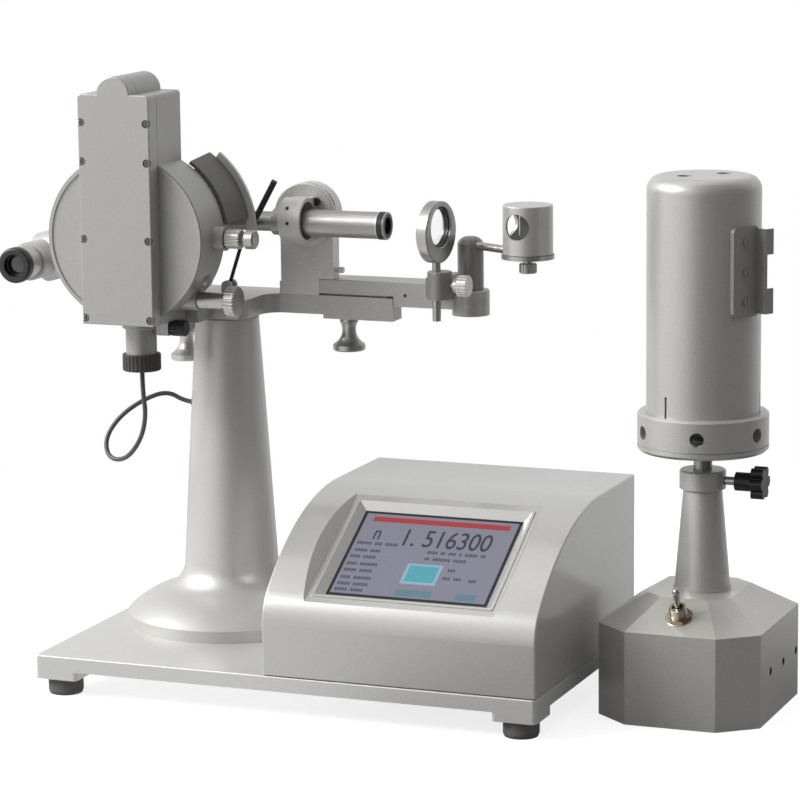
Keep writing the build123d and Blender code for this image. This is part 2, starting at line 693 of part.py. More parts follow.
# Lens carrier: a saddle that slides on the rail, with a round boss in front
CARRIER_Z1 = CARRIER_Z0 + CARRIER_H
SADDLE_X1 = RAIL_X1 + 1.5
SADDLE_Y0 = ARM_Y0 - 5.0
SADDLE_TOP = RAIL_Z1 + SADDLE_GAP + CARRIER_CAP_T
with BuildPart() as lens_carrier:
    with BuildSketch(level(CARRIER_X, OPT_Y, CARRIER_Z0)):
        Circle(CARRIER_R)
    extrude(amount=CARRIER_H)
    fillet(lens_carrier.faces().sort_by(Axis.Z)[-1].edges(), 0.8)
    with BuildSketch(Plane.XY.offset(CARRIER_Z0)):
        with Locations((CARRIER_X - 3, (OPT_Y + SADDLE_Y0) / 2 + 1)):
            Rectangle(2 * CARRIER_R - 6, SADDLE_Y0 - OPT_Y + 2)
    extrude(amount=SADDLE_TOP - CARRIER_Z0)
    # front lip, cap over the rail and rear lip
    with BuildSketch(facing_right(CARRIER_X0, 0, 0)):
        with BuildLine():
            Polyline(
                (SADDLE_Y0, RAIL_Z0 + 1.5),
                (ARM_Y0 - SADDLE_GAP, RAIL_Z0 + 1.5),
                (ARM_Y0 - SADDLE_GAP, RAIL_Z1 + SADDLE_GAP),
                (ARM_Y1 + SADDLE_GAP, RAIL_Z1 + SADDLE_GAP),
                (ARM_Y1 + SADDLE_GAP, RAIL_Z0 + 1.5),
                (ARM_Y1 + 4.5, RAIL_Z0 + 1.5),
                (ARM_Y1 + 4.5, SADDLE_TOP),
                (SADDLE_Y0, SADDLE_TOP),
                (SADDLE_Y0, RAIL_Z0 + 1.5),
            )
        make_face()
    extrude(amount=SADDLE_X1 - CARRIER_X0)
    with BuildSketch(level(LENS_X, OPT_Y, CARRIER_Z0)):
        Circle(STEM_R + RUN)
    extrude(amount=CARRIER_H, mode=Mode.SUBTRACT)
    with BuildSketch(facing_right(LENS_X, OPT_Y, CARRIER_Z0 + CARRIER_H / 2)):
        Circle(2.0 + RUN)
    extrude(amount=2 * CARRIER_R, mode=Mode.SUBTRACT)
save(lens_carrier, "lens_carrier")


# Screw that clamps the lens stem: a shaft, a hub and a knurled head
CARRIER_MID = CARRIER_Z0 + CARRIER_H / 2
STEM_KNOB_X = CARRIER_X + CARRIER_R + 5.6
stem_screw_head = knurled(facing_right(STEM_KNOB_X, OPT_Y, CARRIER_MID), 7.9, 8.5, 20, 0.7)
with BuildPart() as stem_clamp_screw:
    with BuildSketch(facing_right(LENS_X + STEM_R + 0.4, OPT_Y, CARRIER_MID)):
        Circle(2.0)
    extrude(amount=STEM_KNOB_X - LENS_X - STEM_R)
    with BuildSketch(facing_right(STEM_KNOB_X - 3.0, OPT_Y, CARRIER_MID)):
        Circle(5.2)
    extrude(amount=3.0)
    add(stem_screw_head.part)
save(stem_clamp_screw, "stem_clamp_screw")

# Lens ring: thick below and thin above, on a thin stem, turned a little to the front
LENS_Z = OPT_Z - LENS_DROP
yaw = radians(LENS_YAW)
LENS_DIR = Vector(cos(yaw), sin(yaw), 0)
LENS_SIDE = Vector(-sin(yaw), cos(yaw), 0)


def lens_plane(along, z):
    origin = Vector(LENS_X, OPT_Y, z) + LENS_DIR * along
    return Plane(origin=origin, x_dir=LENS_SIDE, z_dir=LENS_DIR)


with BuildPart() as lens_ring:
    with BuildSketch(lens_plane(-LENS_T / 2, LENS_Z)):
        Circle(LENS_R)
        with Locations((0, LENS_DROP + 0.8)):
            Circle(LENS_OPEN_R, mode=Mode.SUBTRACT)
    extrude(amount=LENS_T)
    chamfer(lens_ring.edges().filter_by(GeomType.CIRCLE), 0.6)
    with BuildSketch(level(LENS_X, OPT_Y, STEM_Z0)):
        Circle(STEM_R)
    extrude(amount=LENS_Z - LENS_R + 3 - STEM_Z0)
save(lens_ring, "lens_ring")

# Condenser lens: biconvex glass in the ring
with BuildPart() as condenser_lens:
    with BuildSketch(lens_plane(-1.2, OPT_Z + 0.8)):
        Circle(LENS_OPEN_R)
    extrude(amount=2.4)
save(condenser_lens, "condenser_lens")

# Mirror bracket: a bar under the rail's end with a round boss for the post
with BuildPart() as mirror_bracket:
    with BuildSketch(Plane.XY.offset(TURRET_BAR_Z0)):
        with Locations(((ARM_X1 + 0.6 + TURRET_POST_X) / 2, ARM_Y0 + 9)):
            Rectangle(TURRET_POST_X - ARM_X1 - 0.6, 18)
    extrude(amount=RAIL_Z0 - TURRET_BAR_Z0)
    with BuildSketch(Plane.XY.offset(TURRET_BOSS_Z0)):
        with Locations((TURRET_POST_X, TURRET_POST_Y)):
            Circle(TURRET_BOSS_R)
    extrude(amount=TURRET_BOSS_Z1 - TURRET_BOSS_Z0)
    fillet(mirror_bracket.faces().sort_by(Axis.Z)[-1].edges(), 1.5)
    with BuildSketch(Plane.XY.offset(TURRET_BOSS_Z1)):
        with Locations((TURRET_POST_X, TURRET_POST_Y)):
            Circle(5.0 + RUN)
    extrude(amount=-14, mode=Mode.SUBTRACT)
save(mirror_bracket, "mirror_bracket")

# Mirror post: domed, turning in the boss, with the rod out to the mirror housing
POST_AXIS = Axis((TURRET_POST_X, TURRET_POST_Y, 0), (0, 0, 1))
TURRET_Y = OPT_Y
ROD_Z = TURRET_Z0 + 0.2
rod_vector = Vector(TURRET_X - TURRET_POST_X, TURRET_Y - TURRET_POST_Y, 0)
ROD_DIR = rod_vector.normalized()
with BuildPart() as mirror_post:
    with BuildSketch(upright(TURRET_POST_X, TURRET_POST_Y, TURRET_BOSS_Z1 + SEAT)):
        with BuildLine():
            top = TURRET_POST_TOP - TURRET_BOSS_Z1 - SEAT
            Polyline((0, top), (0, -13), (5.0, -13), (5.0, 0), (TURRET_POST_R, 0), (TURRET_POST_R, top - 5))
            ThreePointArc((TURRET_POST_R, top - 5), (TURRET_POST_R - 2.6, top - 1.3), (0, top))
        make_face()
    revolve(axis=POST_AXIS)
    rod_plane = Plane(origin=Vector(TURRET_POST_X, TURRET_POST_Y, ROD_Z), z_dir=ROD_DIR)
    with BuildSketch(rod_plane.offset(-TURRET_POST_R + 1.5)):
        Circle(ROD_R + RUN)
    extrude(amount=2 * TURRET_POST_R, mode=Mode.SUBTRACT)
save(mirror_post, "mirror_post")

with BuildPart() as mirror_rod:
    with BuildSketch(rod_plane.offset(-TURRET_POST_R + 1.5)):
        Circle(ROD_R)
    extrude(amount=TURRET_POST_R - 1.5 + rod_vector.length - TURRET_R + 1.0)
    # the table under the mirror housing, carried by the rod
    with BuildSketch(Plane.XY.offset(TURRET_Z0 - TURRET_FLANGE_T)):
        with Locations((TURRET_X, TURRET_Y)):
            Circle(TURRET_FLANGE_R)
    extrude(amount=TURRET_FLANGE_T - SEAT)
    with BuildSketch(Plane(origin=Vector(TURRET_X, TURRET_Y, TURRET_Z0 - SEAT) - ROD_DIR * (TURRET_R + 2.2),
                           x_dir=ROD_DIR, z_dir=(0, 0, 1))):
        Rectangle(3.0, 9)
    extrude(amount=-TURRET_FLANGE_T)
    with BuildSketch(Plane(origin=Vector(TURRET_X, TURRET_Y, TURRET_Z0 - TURRET_FLANGE_T)
                           - ROD_DIR * (TURRET_R + 2.2), x_dir=ROD_DIR, z_dir=(0, 0, 1))):
        Rectangle(3.0, 9)
    extrude(amount=ROD_Z + ROD_R - TURRET_Z0 + TURRET_FLANGE_T)
    with BuildSketch(Plane.XY.offset(TURRET_Z0)):
        with Locations((TURRET_X, TURRET_Y)):
            Circle(TURRET_R + SEAT)
    extrude(amount=20, mode=Mode.SUBTRACT)
    with BuildSketch(Plane.XY.offset(TURRET_Z0)):
        with Locations((TURRET_X, TURRET_Y)):
            Circle(3.0 + RUN)
    extrude(amount=-10, mode=Mode.SUBTRACT)
save(mirror_rod, "mirror_rod")

# Mirror housing: a capped cylinder with round ports to the front, back and left,
# turned a little about its own axis
port_turn = radians(TURRET_TURN)
TURRET_PORT = Vector(TURRET_X, TURRET_Y, TURRET_PORT_Z)
with BuildPart() as mirror_housing:
    with BuildSketch(Plane.XY.offset(TURRET_Z0)):
        with Locations((TURRET_X, TURRET_Y)):
            Circle(TURRET_R)
    extrude(amount=TURRET_Z1 - TURRET_Z0)
    fillet(mirror_housing.faces().sort_by(Axis.Z)[-1].edges(), 1.0)
    with BuildSketch(Plane.XY.offset(TURRET_Z0 + TURRET_WALL)):
        with Locations((TURRET_X, TURRET_Y)):
            Circle(TURRET_R - TURRET_WALL)
    extrude(amount=TURRET_Z1 - TURRET_Z0 - 2 * TURRET_WALL, mode=Mode.SUBTRACT)
    with BuildSketch(Plane(origin=TURRET_PORT, z_dir=(sin(port_turn), -cos(port_turn), 0))):
        Circle(TURRET_PORT_R)
    extrude(amount=TURRET_R + 2, both=True, mode=Mode.SUBTRACT)
    with BuildSketch(Plane(origin=TURRET_PORT, z_dir=(-cos(port_turn), -sin(port_turn), 0))):
        Circle(TURRET_PORT_R)
    extrude(amount=TURRET_R + 2, mode=Mode.SUBTRACT)
    with BuildSketch(Plane.XY.offset(TURRET_Z0)):
        with Locations((TURRET_X, TURRET_Y)):
            Circle(2.0)
    extrude(amount=TURRET_WALL, mode=Mode.SUBTRACT)
save(mirror_housing, "mirror_housing")

# Mirror: a silvered plate standing across the housing at 45 degrees
with BuildPart() as lamp_mirror:
    with BuildSketch(level(TURRET_X, TURRET_Y, TURRET_Z0 + TURRET_WALL)):
        Rectangle(12.5, 2.2, rotation=45 + TURRET_TURN)
    extrude(amount=TURRET_Z1 - TURRET_Z0 - 2 * TURRET_WALL)
save(lamp_mirror, "lamp_mirror")

# Thumb screw under the mirror housing, which turns with it
thumb_plane = Plane(origin=(TURRET_X, TURRET_Y, TURRET_Z0 - 14.4))
thumb_head = knurled(thumb_plane, 6.5, 7.2, 18, 0.6)
with BuildPart() as mirror_thumb_screw:
    with BuildSketch(Plane.XY.offset(TURRET_Z0 + TURRET_WALL)):
        with Locations((TURRET_X, TURRET_Y)):
            Circle(2.0)
    extrude(amount=-TURRET_WALL)
    with BuildSketch(Plane.XY.offset(TURRET_Z0)):
        with Locations((TURRET_X, TURRET_Y)):
            Circle(3.0)
    extrude(amount=-7.2)
    add(thumb_head.part)
save(mirror_thumb_screw, "mirror_thumb_screw")

# Drum and encoder housing: one casting, open at the front under the cover
BOX_X0 = AXIS_X - BOX_W / 2
BOX_X1 = AXIS_X + BOX_W / 2
BOX_Y0 = DRUM_Y0 - 0.5


def box_outline(grow):
    # The box seen from the front: square below, with a round hump on top
    z0 = BOX_Z0 - grow
    z1 = BOX_Z1 + grow
    half = BOX_W / 2 + grow
    with BuildSketch() as outline:
        with Locations((0, (z0 + z1) / 2)):
            Rectangle(2 * half, z1 - z0)
        fillet(outline.vertices().group_by(Axis.Y)[-1], BOX_CORNER_R)
        with Locations((0, BOX_Z1)):
            Circle(ARCH_R + 1.5 + grow)
    return outline.sketch


SCREW_SPOTS = [
    (AXIS_X + side * BOX_SCREW_DX / 2, z) for side in (-1, 1) for z in BOX_SCREW_Z
]
with BuildPart() as drum_housing:
    with BuildSketch(upright(AXIS_X, DRUM_Y0, AXIS_Z)):
        Circle(DRUM_R)
    extrude(amount=-(DRUM_Y1 - DRUM_Y0))
    # raised bead round the drum's face
    with BuildSketch(upright(AXIS_X, DRUM_Y0 - 1.0, AXIS_Z)):
        Circle(DRUM_R - 0.6)
        Circle(DRUM_R - 3.2, mode=Mode.SUBTRACT)
    extrude(amount=-2)
    with BuildSketch(upright(AXIS_X, BOX_Y0)):
        add(box_outline(0))
    extrude(amount=-(DRUM_Y1 - BOX_Y0))
    # the bead stops at the box
    with BuildSketch(upright(AXIS_X, BOX_Y0 - 2)):
        add(box_outline(0.6))
    extrude(amount=-2, mode=Mode.SUBTRACT)
    # flat round pad for the signal connector
    with BuildSketch(Plane.XY.offset(CONN_Z)):
        with Locations((AXIS_X, CONN_Y)):
            Circle(CONN_R - 0.5)
    extrude(amount=5)
    # bosses for the clamp knob, the slow-motion knob and the fine knob
    with BuildSketch(facing_right(AXIS_X + DRUM_R - 10, CLAMP_KNOB_Y, AXIS_Z)):
        Circle(9)
    extrude(amount=18)
    with BuildSketch(facing_right(AXIS_X + 30, CLAMP_KNOB_Y, SLOW_Z)):
        Circle(7.5)
    extrude(amount=SLOW_REACH - 30)
    with BuildSketch(facing_right(FINE_X - FINE_LUG, CLAMP_KNOB_Y, FINE_Z)):
        RectangleRounded(13, 11, 2)
        with Locations((0, 8)):
            Rectangle(13, 12)
    extrude(amount=FINE_LUG)
    ball_dir = Vector(cos(radians(-31)), 0, sin(radians(-31)))
    ball_start = Vector(AXIS_X, CLAMP_KNOB_Y, AXIS_Z) + ball_dir * (DRUM_R - 6)
    with BuildSketch(Plane(origin=ball_start, z_dir=ball_dir)):
        Circle(5)
    extrude(amount=10)
    fillet(drum_housing.edges().filter_by(GeomType.CIRCLE).sort_by_distance(ball_start + ball_dir * 10)[0], 3.5)
    # the round room for the encoder disc and the box room above and below it
    with BuildSketch(upright(AXIS_X, DRUM_Y0 + DRUM_WALL, AXIS_Z)):
        Circle(DRUM_R - DRUM_WALL)
    extrude(amount=-(DRUM_Y1 - DRUM_Y0 - 2 * DRUM_WALL), mode=Mode.SUBTRACT)
    with BuildSketch(upright(AXIS_X, BOX_Y0)):
        add(box_outline(-DRUM_WALL))
    extrude(amount=-(DRUM_Y1 - BOX_Y0 - DRUM_WALL), mode=Mode.SUBTRACT)
    # hole for the shaft and the holes in the bosses
    with BuildSketch(upright(AXIS_X, DRUM_Y1 + 1, AXIS_Z)):
        Circle(SHAFT_R + 2)
    extrude(amount=DRUM_WALL + 2, mode=Mode.SUBTRACT)
    with BuildSketch(facing_right(AXIS_X + DRUM_R + 9, CLAMP_KNOB_Y, AXIS_Z)):
        Circle(3 + RUN)
    extrude(amount=-10, mode=Mode.SUBTRACT)
    with BuildSketch(facing_right(AXIS_X + SLOW_REACH + 1, CLAMP_KNOB_Y, SLOW_Z)):
        Circle(2.5 + RUN)
    extrude(amount=-10, mode=Mode.SUBTRACT)
    with BuildSketch(facing_right(FINE_X + 1, CLAMP_KNOB_Y, FINE_Z)):
        Circle(2 + RUN)
    extrude(amount=-8, mode=Mode.SUBTRACT)
    # hole for the signal connector
    with BuildSketch(Plane.XY.offset(CONN_Z)):
        with Locations((AXIS_X, CONN_Y)):
            Circle(8.0)
    extrude(amount=10, mode=Mode.SUBTRACT)
save(drum_housing, "drum_housing")

# Encoder cover: the thick front cover, hollow behind, with countersunk holes
COVER_Y0 = BOX_Y0 - COVER_GAP - COVER_T
with BuildPart() as encoder_cover:
    with BuildSketch(upright(AXIS_X, COVER_Y0)):
        add(box_outline(0))
    extrude(amount=-COVER_T)
    fillet(encoder_cover.faces().sort_by(Axis.Y)[0].edges(), 0.8)
    with BuildSketch(upright(AXIS_X, COVER_Y0 + 3)):
        add(box_outline(-7))
    extrude(amount=-(COVER_T - 3), mode=Mode.SUBTRACT)
    for x, z in SCREW_SPOTS:
        with BuildSketch(upright(x, COVER_Y0, z)):
            Circle(BOX_SCREW_R + 0.6)
        extrude(amount=-2.6, mode=Mode.SUBTRACT)
        with BuildSketch(upright(x, COVER_Y0, z)):
            Circle(1.6)
        extrude(amount=-COVER_T, mode=Mode.SUBTRACT)
save(encoder_cover, "encoder_cover")

with BuildPart() as cover_screws:
    for x, z in SCREW_SPOTS:
        with BuildSketch(upright(x, COVER_Y0 + 0.9, z)):
            Circle(BOX_SCREW_R)
            Rectangle(0.7, 3.4, mode=Mode.SUBTRACT)
            Rectangle(3.4, 0.7, mode=Mode.SUBTRACT)
        extrude(amount=-0.8)
        with BuildSketch(upright(x, COVER_Y0 + 1.7, z)):
            Circle(BOX_SCREW_R)
        extrude(amount=-0.9)
        with BuildSketch(upright(x, COVER_Y0 + 2.5, z)):
            Circle(1.55)
        extrude(amount=-(COVER_T - 2.5))
save(cover_screws, "cover_screws")

# Signal connector under the box: grey collar and neck, black ring nut
with BuildPart() as cable_connector:
    with BuildSketch(upright(AXIS_X, CONN_Y, CONN_Z)):
        with BuildLine():
            Polyline(
                (0, 6), (7.9, 6), (7.9, 0), (CONN_R, 0), (CONN_R, -5.7),
                (CONN_R - 0.8, -6.5), (11.5, -6.5), (11.5, -27), (0, -27), (0, 6),
            )
        make_face()
    revolve(axis=Axis((AXIS_X, CONN_Y, 0), (0, 0, 1)))
save(cable_connector, "cable_connector")

NUT_TOP = CONN_Z - 25.5
NUT_H = 12.5
nut_grip = knurled(Plane(origin=(AXIS_X, CONN_Y, NUT_TOP - NUT_H)), 14.3, NUT_H, 28, 0.6)
with BuildPart() as connector_nut:
    add(nut_grip.part)
    with BuildSketch(Plane.XY.offset(NUT_TOP)):
        with Locations((AXIS_X, CONN_Y)):
            Circle(11.52)
    extrude(amount=-1.5, mode=Mode.SUBTRACT)
    with BuildSketch(Plane.XY.offset(NUT_TOP - NUT_H)):
        with Locations((AXIS_X, CONN_Y)):
            Circle(CABLE_R)
    extrude(amount=5, mode=Mode.SUBTRACT)
save(connector_nut, "connector_nut")

# Signal cable: from the ring nut down, round in a loop and into the column
CABLE_POINTS = [
    (AXIS_X, CONN_Y, NUT_TOP - NUT_H + 5),
    (AXIS_X, CONN_Y, 216.0),
    (AXIS_X + 0.5, -35.0, 197.5),
    (-150.0, -29.0, 177.0),
    (-166.0, -23.0, 159.5),
    (-184.0, -16.0, 158.0),
    (-190.0, -9.5, 172.0),
    (-181.5, -1.5, 188.0),
    (-166.5, 8.5, 200.0),
    (-151.0, 20.0, 206.0),
    (GROMMET_X - 6.2, COL_Y, CABLE_HOLE_Z),
    (GROMMET_X + 4.0, COL_Y, CABLE_HOLE_Z),
]


def corner_radii(points):
    # Each arc is as large as its two runs allow
    radii = []
    for before, here, after in zip(points, points[1:], points[2:]):
        run_in = Vector(*here) - Vector(*before)
        run_out = Vector(*after) - Vector(*here)
        turn = radians(run_in.get_angle(run_out))
        radii.append(0.45 * min(run_in.length, run_out.length) / tan(turn / 2))
    return radii


cable_radii = corner_radii(CABLE_POINTS)
print("cable corner radii", [round(r, 1) for r in cable_radii])
with BuildPart() as signal_cable:
    with BuildLine() as cable_path:
        FilletPolyline(*CABLE_POINTS, radius=cable_radii)
    with BuildSketch(Plane(origin=CABLE_POINTS[0], z_dir=(0, 0, -1))):
        Circle(CABLE_R)
    sweep(path=cable_path.line)
cable_length = cable_path.wires()[0].length
print("cable volume over section times length",
      round(signal_cable.part.volume / (pi * CABLE_R ** 2 * cable_length), 3))
save(signal_cable, "signal_cable")

# Shaft bearings: two ring bearings in the tube
with BuildPart() as shaft_bearings:
    for y in (DRUM_Y1 + 1.0, BEARING_Y1 - BEARING_W - 0.5):
        with BuildSketch(upright(AXIS_X, y, AXIS_Z)):
            Circle(BEARING_R)
            Circle(SHAFT_R + RUN, mode=Mode.SUBTRACT)
        extrude(amount=-BEARING_W)
save(shaft_bearings, "shaft_bearings")

# Main shaft: carries the encoder disc in front and the telescope arm behind
SHAFT_Y0 = DRUM_Y0 + DRUM_WALL + 4
with BuildPart() as main_shaft:
    with BuildSketch(upright(AXIS_X, SHAFT_Y0, AXIS_Z)):
        Circle(SHAFT_R)
    extrude(amount=-(ARM_PLATE_Y + ARM_PLATE_T - SHAFT_Y0))
    chamfer(main_shaft.edges(), 0.8)
save(main_shaft, "main_shaft")

# Encoder disc: divided glass on a small hub
ENCODER_R = 46.0
ENCODER_Y = DRUM_Y0 + DRUM_WALL + 12
with BuildPart() as encoder_disc:
    with BuildSketch(upright(AXIS_X, ENCODER_Y, AXIS_Z)):
        Circle(ENCODER_R)
        Circle(SHAFT_R, mode=Mode.SUBTRACT)
    extrude(amount=-3)
    with BuildSketch(upright(AXIS_X, ENCODER_Y - 5, AXIS_Z)):
        Circle(SHAFT_R + 6)
        Circle(SHAFT_R, mode=Mode.SUBTRACT)
    extrude(amount=-5)
save(encoder_disc, "encoder_disc")

# Reading head: straddles the disc's edge from the box above
READ_Y0 = ENCODER_Y - 8
with BuildPart() as reading_head:
    with BuildSketch(upright(AXIS_X, READ_Y0, AXIS_Z + ENCODER_R + 6)):
        Rectangle(26, 32)
    extrude(amount=-(DRUM_Y1 - DRUM_WALL - READ_Y0))
    with BuildSketch(upright(AXIS_X, ENCODER_Y - 1.5, AXIS_Z + ENCODER_R - 7)):
        Rectangle(30, 20)
    extrude(amount=-6, mode=Mode.SUBTRACT)
save(reading_head, "reading_head")

# Telescope: everything here turns with the shaft, and is laid out along its own axis
drop = radians(TELE_DROP)
TELE_DIR = Vector(-cos(drop), 0, -sin(drop))
TELE_UP = Vector(-sin(drop), 0, cos(drop))


def tele_point(distance, y=OPT_Y):
    return Vector(AXIS_X, y, AXIS_Z) + TELE_DIR * distance


def tele_plane(distance):
    # Faces along the telescope, away from the turning axis
    return Plane(origin=tele_point(distance), x_dir=(0, 1, 0), z_dir=TELE_DIR)


with BuildPart() as telescope_arm:
    plate_plane = Plane(origin=tele_point(0, ARM_PLATE_Y), x_dir=TELE_DIR, z_dir=(0, 1, 0))
    with BuildSketch(plate_plane):
        Circle(17)
        with Locations((TELE_D1 / 2 - 4, 0)):
            Rectangle(TELE_D1 - 8, 22)
        Circle(SHAFT_R, mode=Mode.SUBTRACT)
    extrude(amount=ARM_PLATE_T)
    for distance in (44, 82):
        with BuildSketch(tele_plane(distance)):
            Circle(TELE_R + 3.2)
            Circle(TELE_R, mode=Mode.SUBTRACT)
        extrude(amount=9)
save(telescope_arm, "telescope_arm")

with BuildPart() as telescope_tube:
    with BuildSketch(tele_plane(TELE_D0)):
        Circle(TELE_R)
        Circle(TELE_R - TELE_WALL, mode=Mode.SUBTRACT)
    extrude(amount=TELE_D1 - TELE_D0)
    chamfer(telescope_tube.edges().group_by(Axis(tele_point(0), TELE_DIR))[0], 0.5)
save(telescope_tube, "telescope_tube")

with BuildPart() as telescope_lens:
    with BuildSketch(tele_plane(TELE_D0 + 3)):
        Circle(TELE_R - TELE_WALL)
    extrude(amount=4)
save(telescope_lens, "telescope_lens")

with BuildPart() as telescope_elbow:
    with BuildSketch(tele_plane(TELE_D1)):
        Circle(ELBOW_R)
    extrude(amount=ELBOW_L)
    chamfer(telescope_elbow.edges().group_by(Axis(tele_point(0), TELE_DIR))[-1], 6)
    chamfer(telescope_elbow.edges().group_by(Axis(tele_point(0), TELE_DIR))[0], 1)
    branch = Plane(origin=tele_point(ELBOW_D, OPT_Y), x_dir=TELE_DIR, z_dir=(0, -1, 0))
    with BuildSketch(branch):
        Circle(EYE_BRANCH_R)
    extrude(amount=OPT_Y - EYE_BRANCH_Y)
    with BuildSketch(branch):
        Circle(EYE_TUBE_R + RUN)
    extrude(amount=OPT_Y - EYE_BRANCH_Y + 1, mode=Mode.SUBTRACT)
save(telescope_elbow, "telescope_elbow")

with BuildPart() as eyepiece_tube:
    with BuildSketch(branch.offset(8)):
        Circle(EYE_TUBE_R)
        Circle(EYE_TUBE_R - 2.5, mode=Mode.SUBTRACT)
    extrude(amount=OPT_Y - EYECUP_Y0 - 8 - 3)
    with BuildSketch(branch.offset(OPT_Y - EYECUP_Y0 - 8)):
        Circle(EYE_TUBE_R - 2.4)
    extrude(amount=2.4)
save(eyepiece_tube, "eyepiece_tube")

with BuildPart() as eyecup:
    with BuildSketch(branch.offset(OPT_Y - EYECUP_Y0 - EYECUP_L)):
        Circle(EYECUP_R)
        Circle(EYE_TUBE_R, mode=Mode.SUBTRACT)
    extrude(amount=EYECUP_L - 3)
    with BuildSketch(branch.offset(OPT_Y - EYECUP_Y0 - 3)):
        Circle(EYECUP_R)
        Circle(EYE_TUBE_R - 4, mode=Mode.SUBTRACT)
    extrude(amount=3)
    fillet(eyecup.edges().filter_by(GeomType.CIRCLE).group_by(Axis.Y)[0].sort_by(SortBy.RADIUS)[-1], 2)
save(eyecup, "eyecup")

# Prism seat: a small round table on a pillar on the casting
with BuildPart() as prism_seat:
    with BuildSketch(Plane.XY.offset(ARM_TOP)):
        with Locations((AXIS_X, OPT_Y)):
            Circle(9)
    extrude(amount=PRISM_Z0 - SEAT_T - ARM_TOP)
    with BuildSketch(Plane.XY.offset(PRISM_Z0 - SEAT_T)):
        with Locations((AXIS_X, OPT_Y)):
            Circle(SEAT_R)
    extrude(amount=SEAT_T)
    fillet(prism_seat.edges().filter_by(GeomType.CIRCLE).group_by(Axis.Z)[1].sort_by(SortBy.RADIUS)[0], 3)
    # two low cheeks that hold the prism
    with BuildSketch(Plane.XY.offset(PRISM_Z0)):
        with Locations((AXIS_X, OPT_Y - PRISM_D / 2 - 1.5), (AXIS_X, OPT_Y + PRISM_D / 2 + 1.5)):
            Rectangle(20, 3)
    extrude(amount=7)
save(prism_seat, "prism_seat")

# V prism: a glass block with a right-angled notch for the sample
with BuildPart() as v_prism:
    with BuildSketch(upright(AXIS_X, OPT_Y - PRISM_D / 2, PRISM_Z0)):
        with BuildLine():
            Polyline(
                (-PRISM_W / 2, 0),
                (PRISM_W / 2, 0),
                (PRISM_W / 2, PRISM_H),
                (PRISM_NOTCH, PRISM_H),
                (0, PRISM_H - PRISM_NOTCH),
                (-PRISM_NOTCH, PRISM_H),
                (-PRISM_W / 2, PRISM_H),
                (-PRISM_W / 2, 0),
            )
        make_face()
    extrude(amount=-PRISM_D)
save(v_prism, "v_prism")


# Hood: part of a ring that covers the prism side, on a web and a hub
def sector(a0, a1, reach):
    # A wedge seen from the front, from angle a0 to a1 above the right-hand side
    mid = (a0 + a1) / 2
    with BuildLine() as edge:
        Polyline(
            (0, 0),
            (reach * cos(radians(a0)), reach * sin(radians(a0))),
            (reach * 1.3 * cos(radians(mid)), reach * 1.3 * sin(radians(mid))),
            (reach * cos(radians(a1)), reach * sin(radians(a1))),
            (0, 0),
        )
    return edge


HUB_Y0 = HOOD_Y0 + 17.5
HUB_Y1 = HUB_Y0 + 5.5
with BuildPart() as prism_hood:
    with BuildSketch(Plane(origin=(AXIS_X, 0, AXIS_Z), x_dir=(1, 0, 0), z_dir=(0, 0, 1))):
        with BuildLine():
            Polyline(
                (HOOD_R0 - HOOD_WALL, HOOD_Y0),
                (HOOD_R0, HOOD_Y0),
                (HOOD_R1, HOOD_Y1),
                (HOOD_R1 - HOOD_WALL, HOOD_Y1),
                (HOOD_R0 - HOOD_WALL, HOOD_Y0),
            )
        make_face()
    revolve(axis=Axis((AXIS_X, 0, AXIS_Z), (0, 1, 0)))
    # the web runs out to the middle of the band's wall
    web_r = HOOD_R0 + (HOOD_R1 - HOOD_R0) * (HUB_Y0 - HOOD_Y0) / (HOOD_Y1 - HOOD_Y0) - HOOD_WALL / 2
    with BuildSketch(upright(AXIS_X, HUB_Y0, AXIS_Z)):
        Circle(web_r)
    extrude(amount=-3)
    with BuildSketch(upright(AXIS_X, -100, AXIS_Z)):
        add(sector(HOOD_A0, HOOD_A1, 120))
        make_face()
    extrude(amount=-200, mode=Mode.INTERSECT)
    with BuildSketch(upright(AXIS_X, HUB_Y0, AXIS_Z)):
        Circle(BEARING_HOUSING_R + 4)
    extrude(amount=-(HUB_Y1 - HUB_Y0))
    with BuildSketch(upright(AXIS_X, HUB_Y0 - 1, AXIS_Z)):
        Circle(BEARING_HOUSING_R + RUN)
    extrude(amount=-20, mode=Mode.SUBTRACT)
save(prism_hood, "prism_hood")

with BuildPart() as hood_flange:
    with BuildSketch(upright(AXIS_X, HOOD_Y1, AXIS_Z)):
        Circle(HOOD_FLANGE_R)
        Circle(HOOD_R1 - HOOD_WALL, mode=Mode.SUBTRACT)
    extrude(amount=-HOOD_FLANGE_T)
    with BuildSketch(upright(AXIS_X, -100, AXIS_Z)):
        add(sector(HOOD_FLANGE_A0, HOOD_FLANGE_A1, 120))
        make_face()
    extrude(amount=-200, mode=Mode.INTERSECT)
save(hood_flange, "hood_flange")

# Telescope clamp knob: shaft, knurled part, neck and end disc
CLAMP_KNOB_X = AXIS_X + DRUM_R + 8 + SEAT
clamp_grip = knurled(facing_right(CLAMP_KNOB_X, CLAMP_KNOB_Y, AXIS_Z), 7.2, 12, 18, 0.6)
with BuildPart() as telescope_clamp_knob:
    with BuildSketch(facing_right(CLAMP_KNOB_X - 8, CLAMP_KNOB_Y, AXIS_Z)):
        Circle(3)
    extrude(amount=28)
    add(clamp_grip.part)
    with BuildSketch(facing_right(CLAMP_KNOB_X + 16, CLAMP_KNOB_Y, AXIS_Z)):
        Circle(7)
    extrude(amount=7)
    chamfer(telescope_clamp_knob.edges().filter_by(GeomType.CIRCLE).group_by(Axis.X)[-1], 1)
save(telescope_clamp_knob, "telescope_clamp_knob")

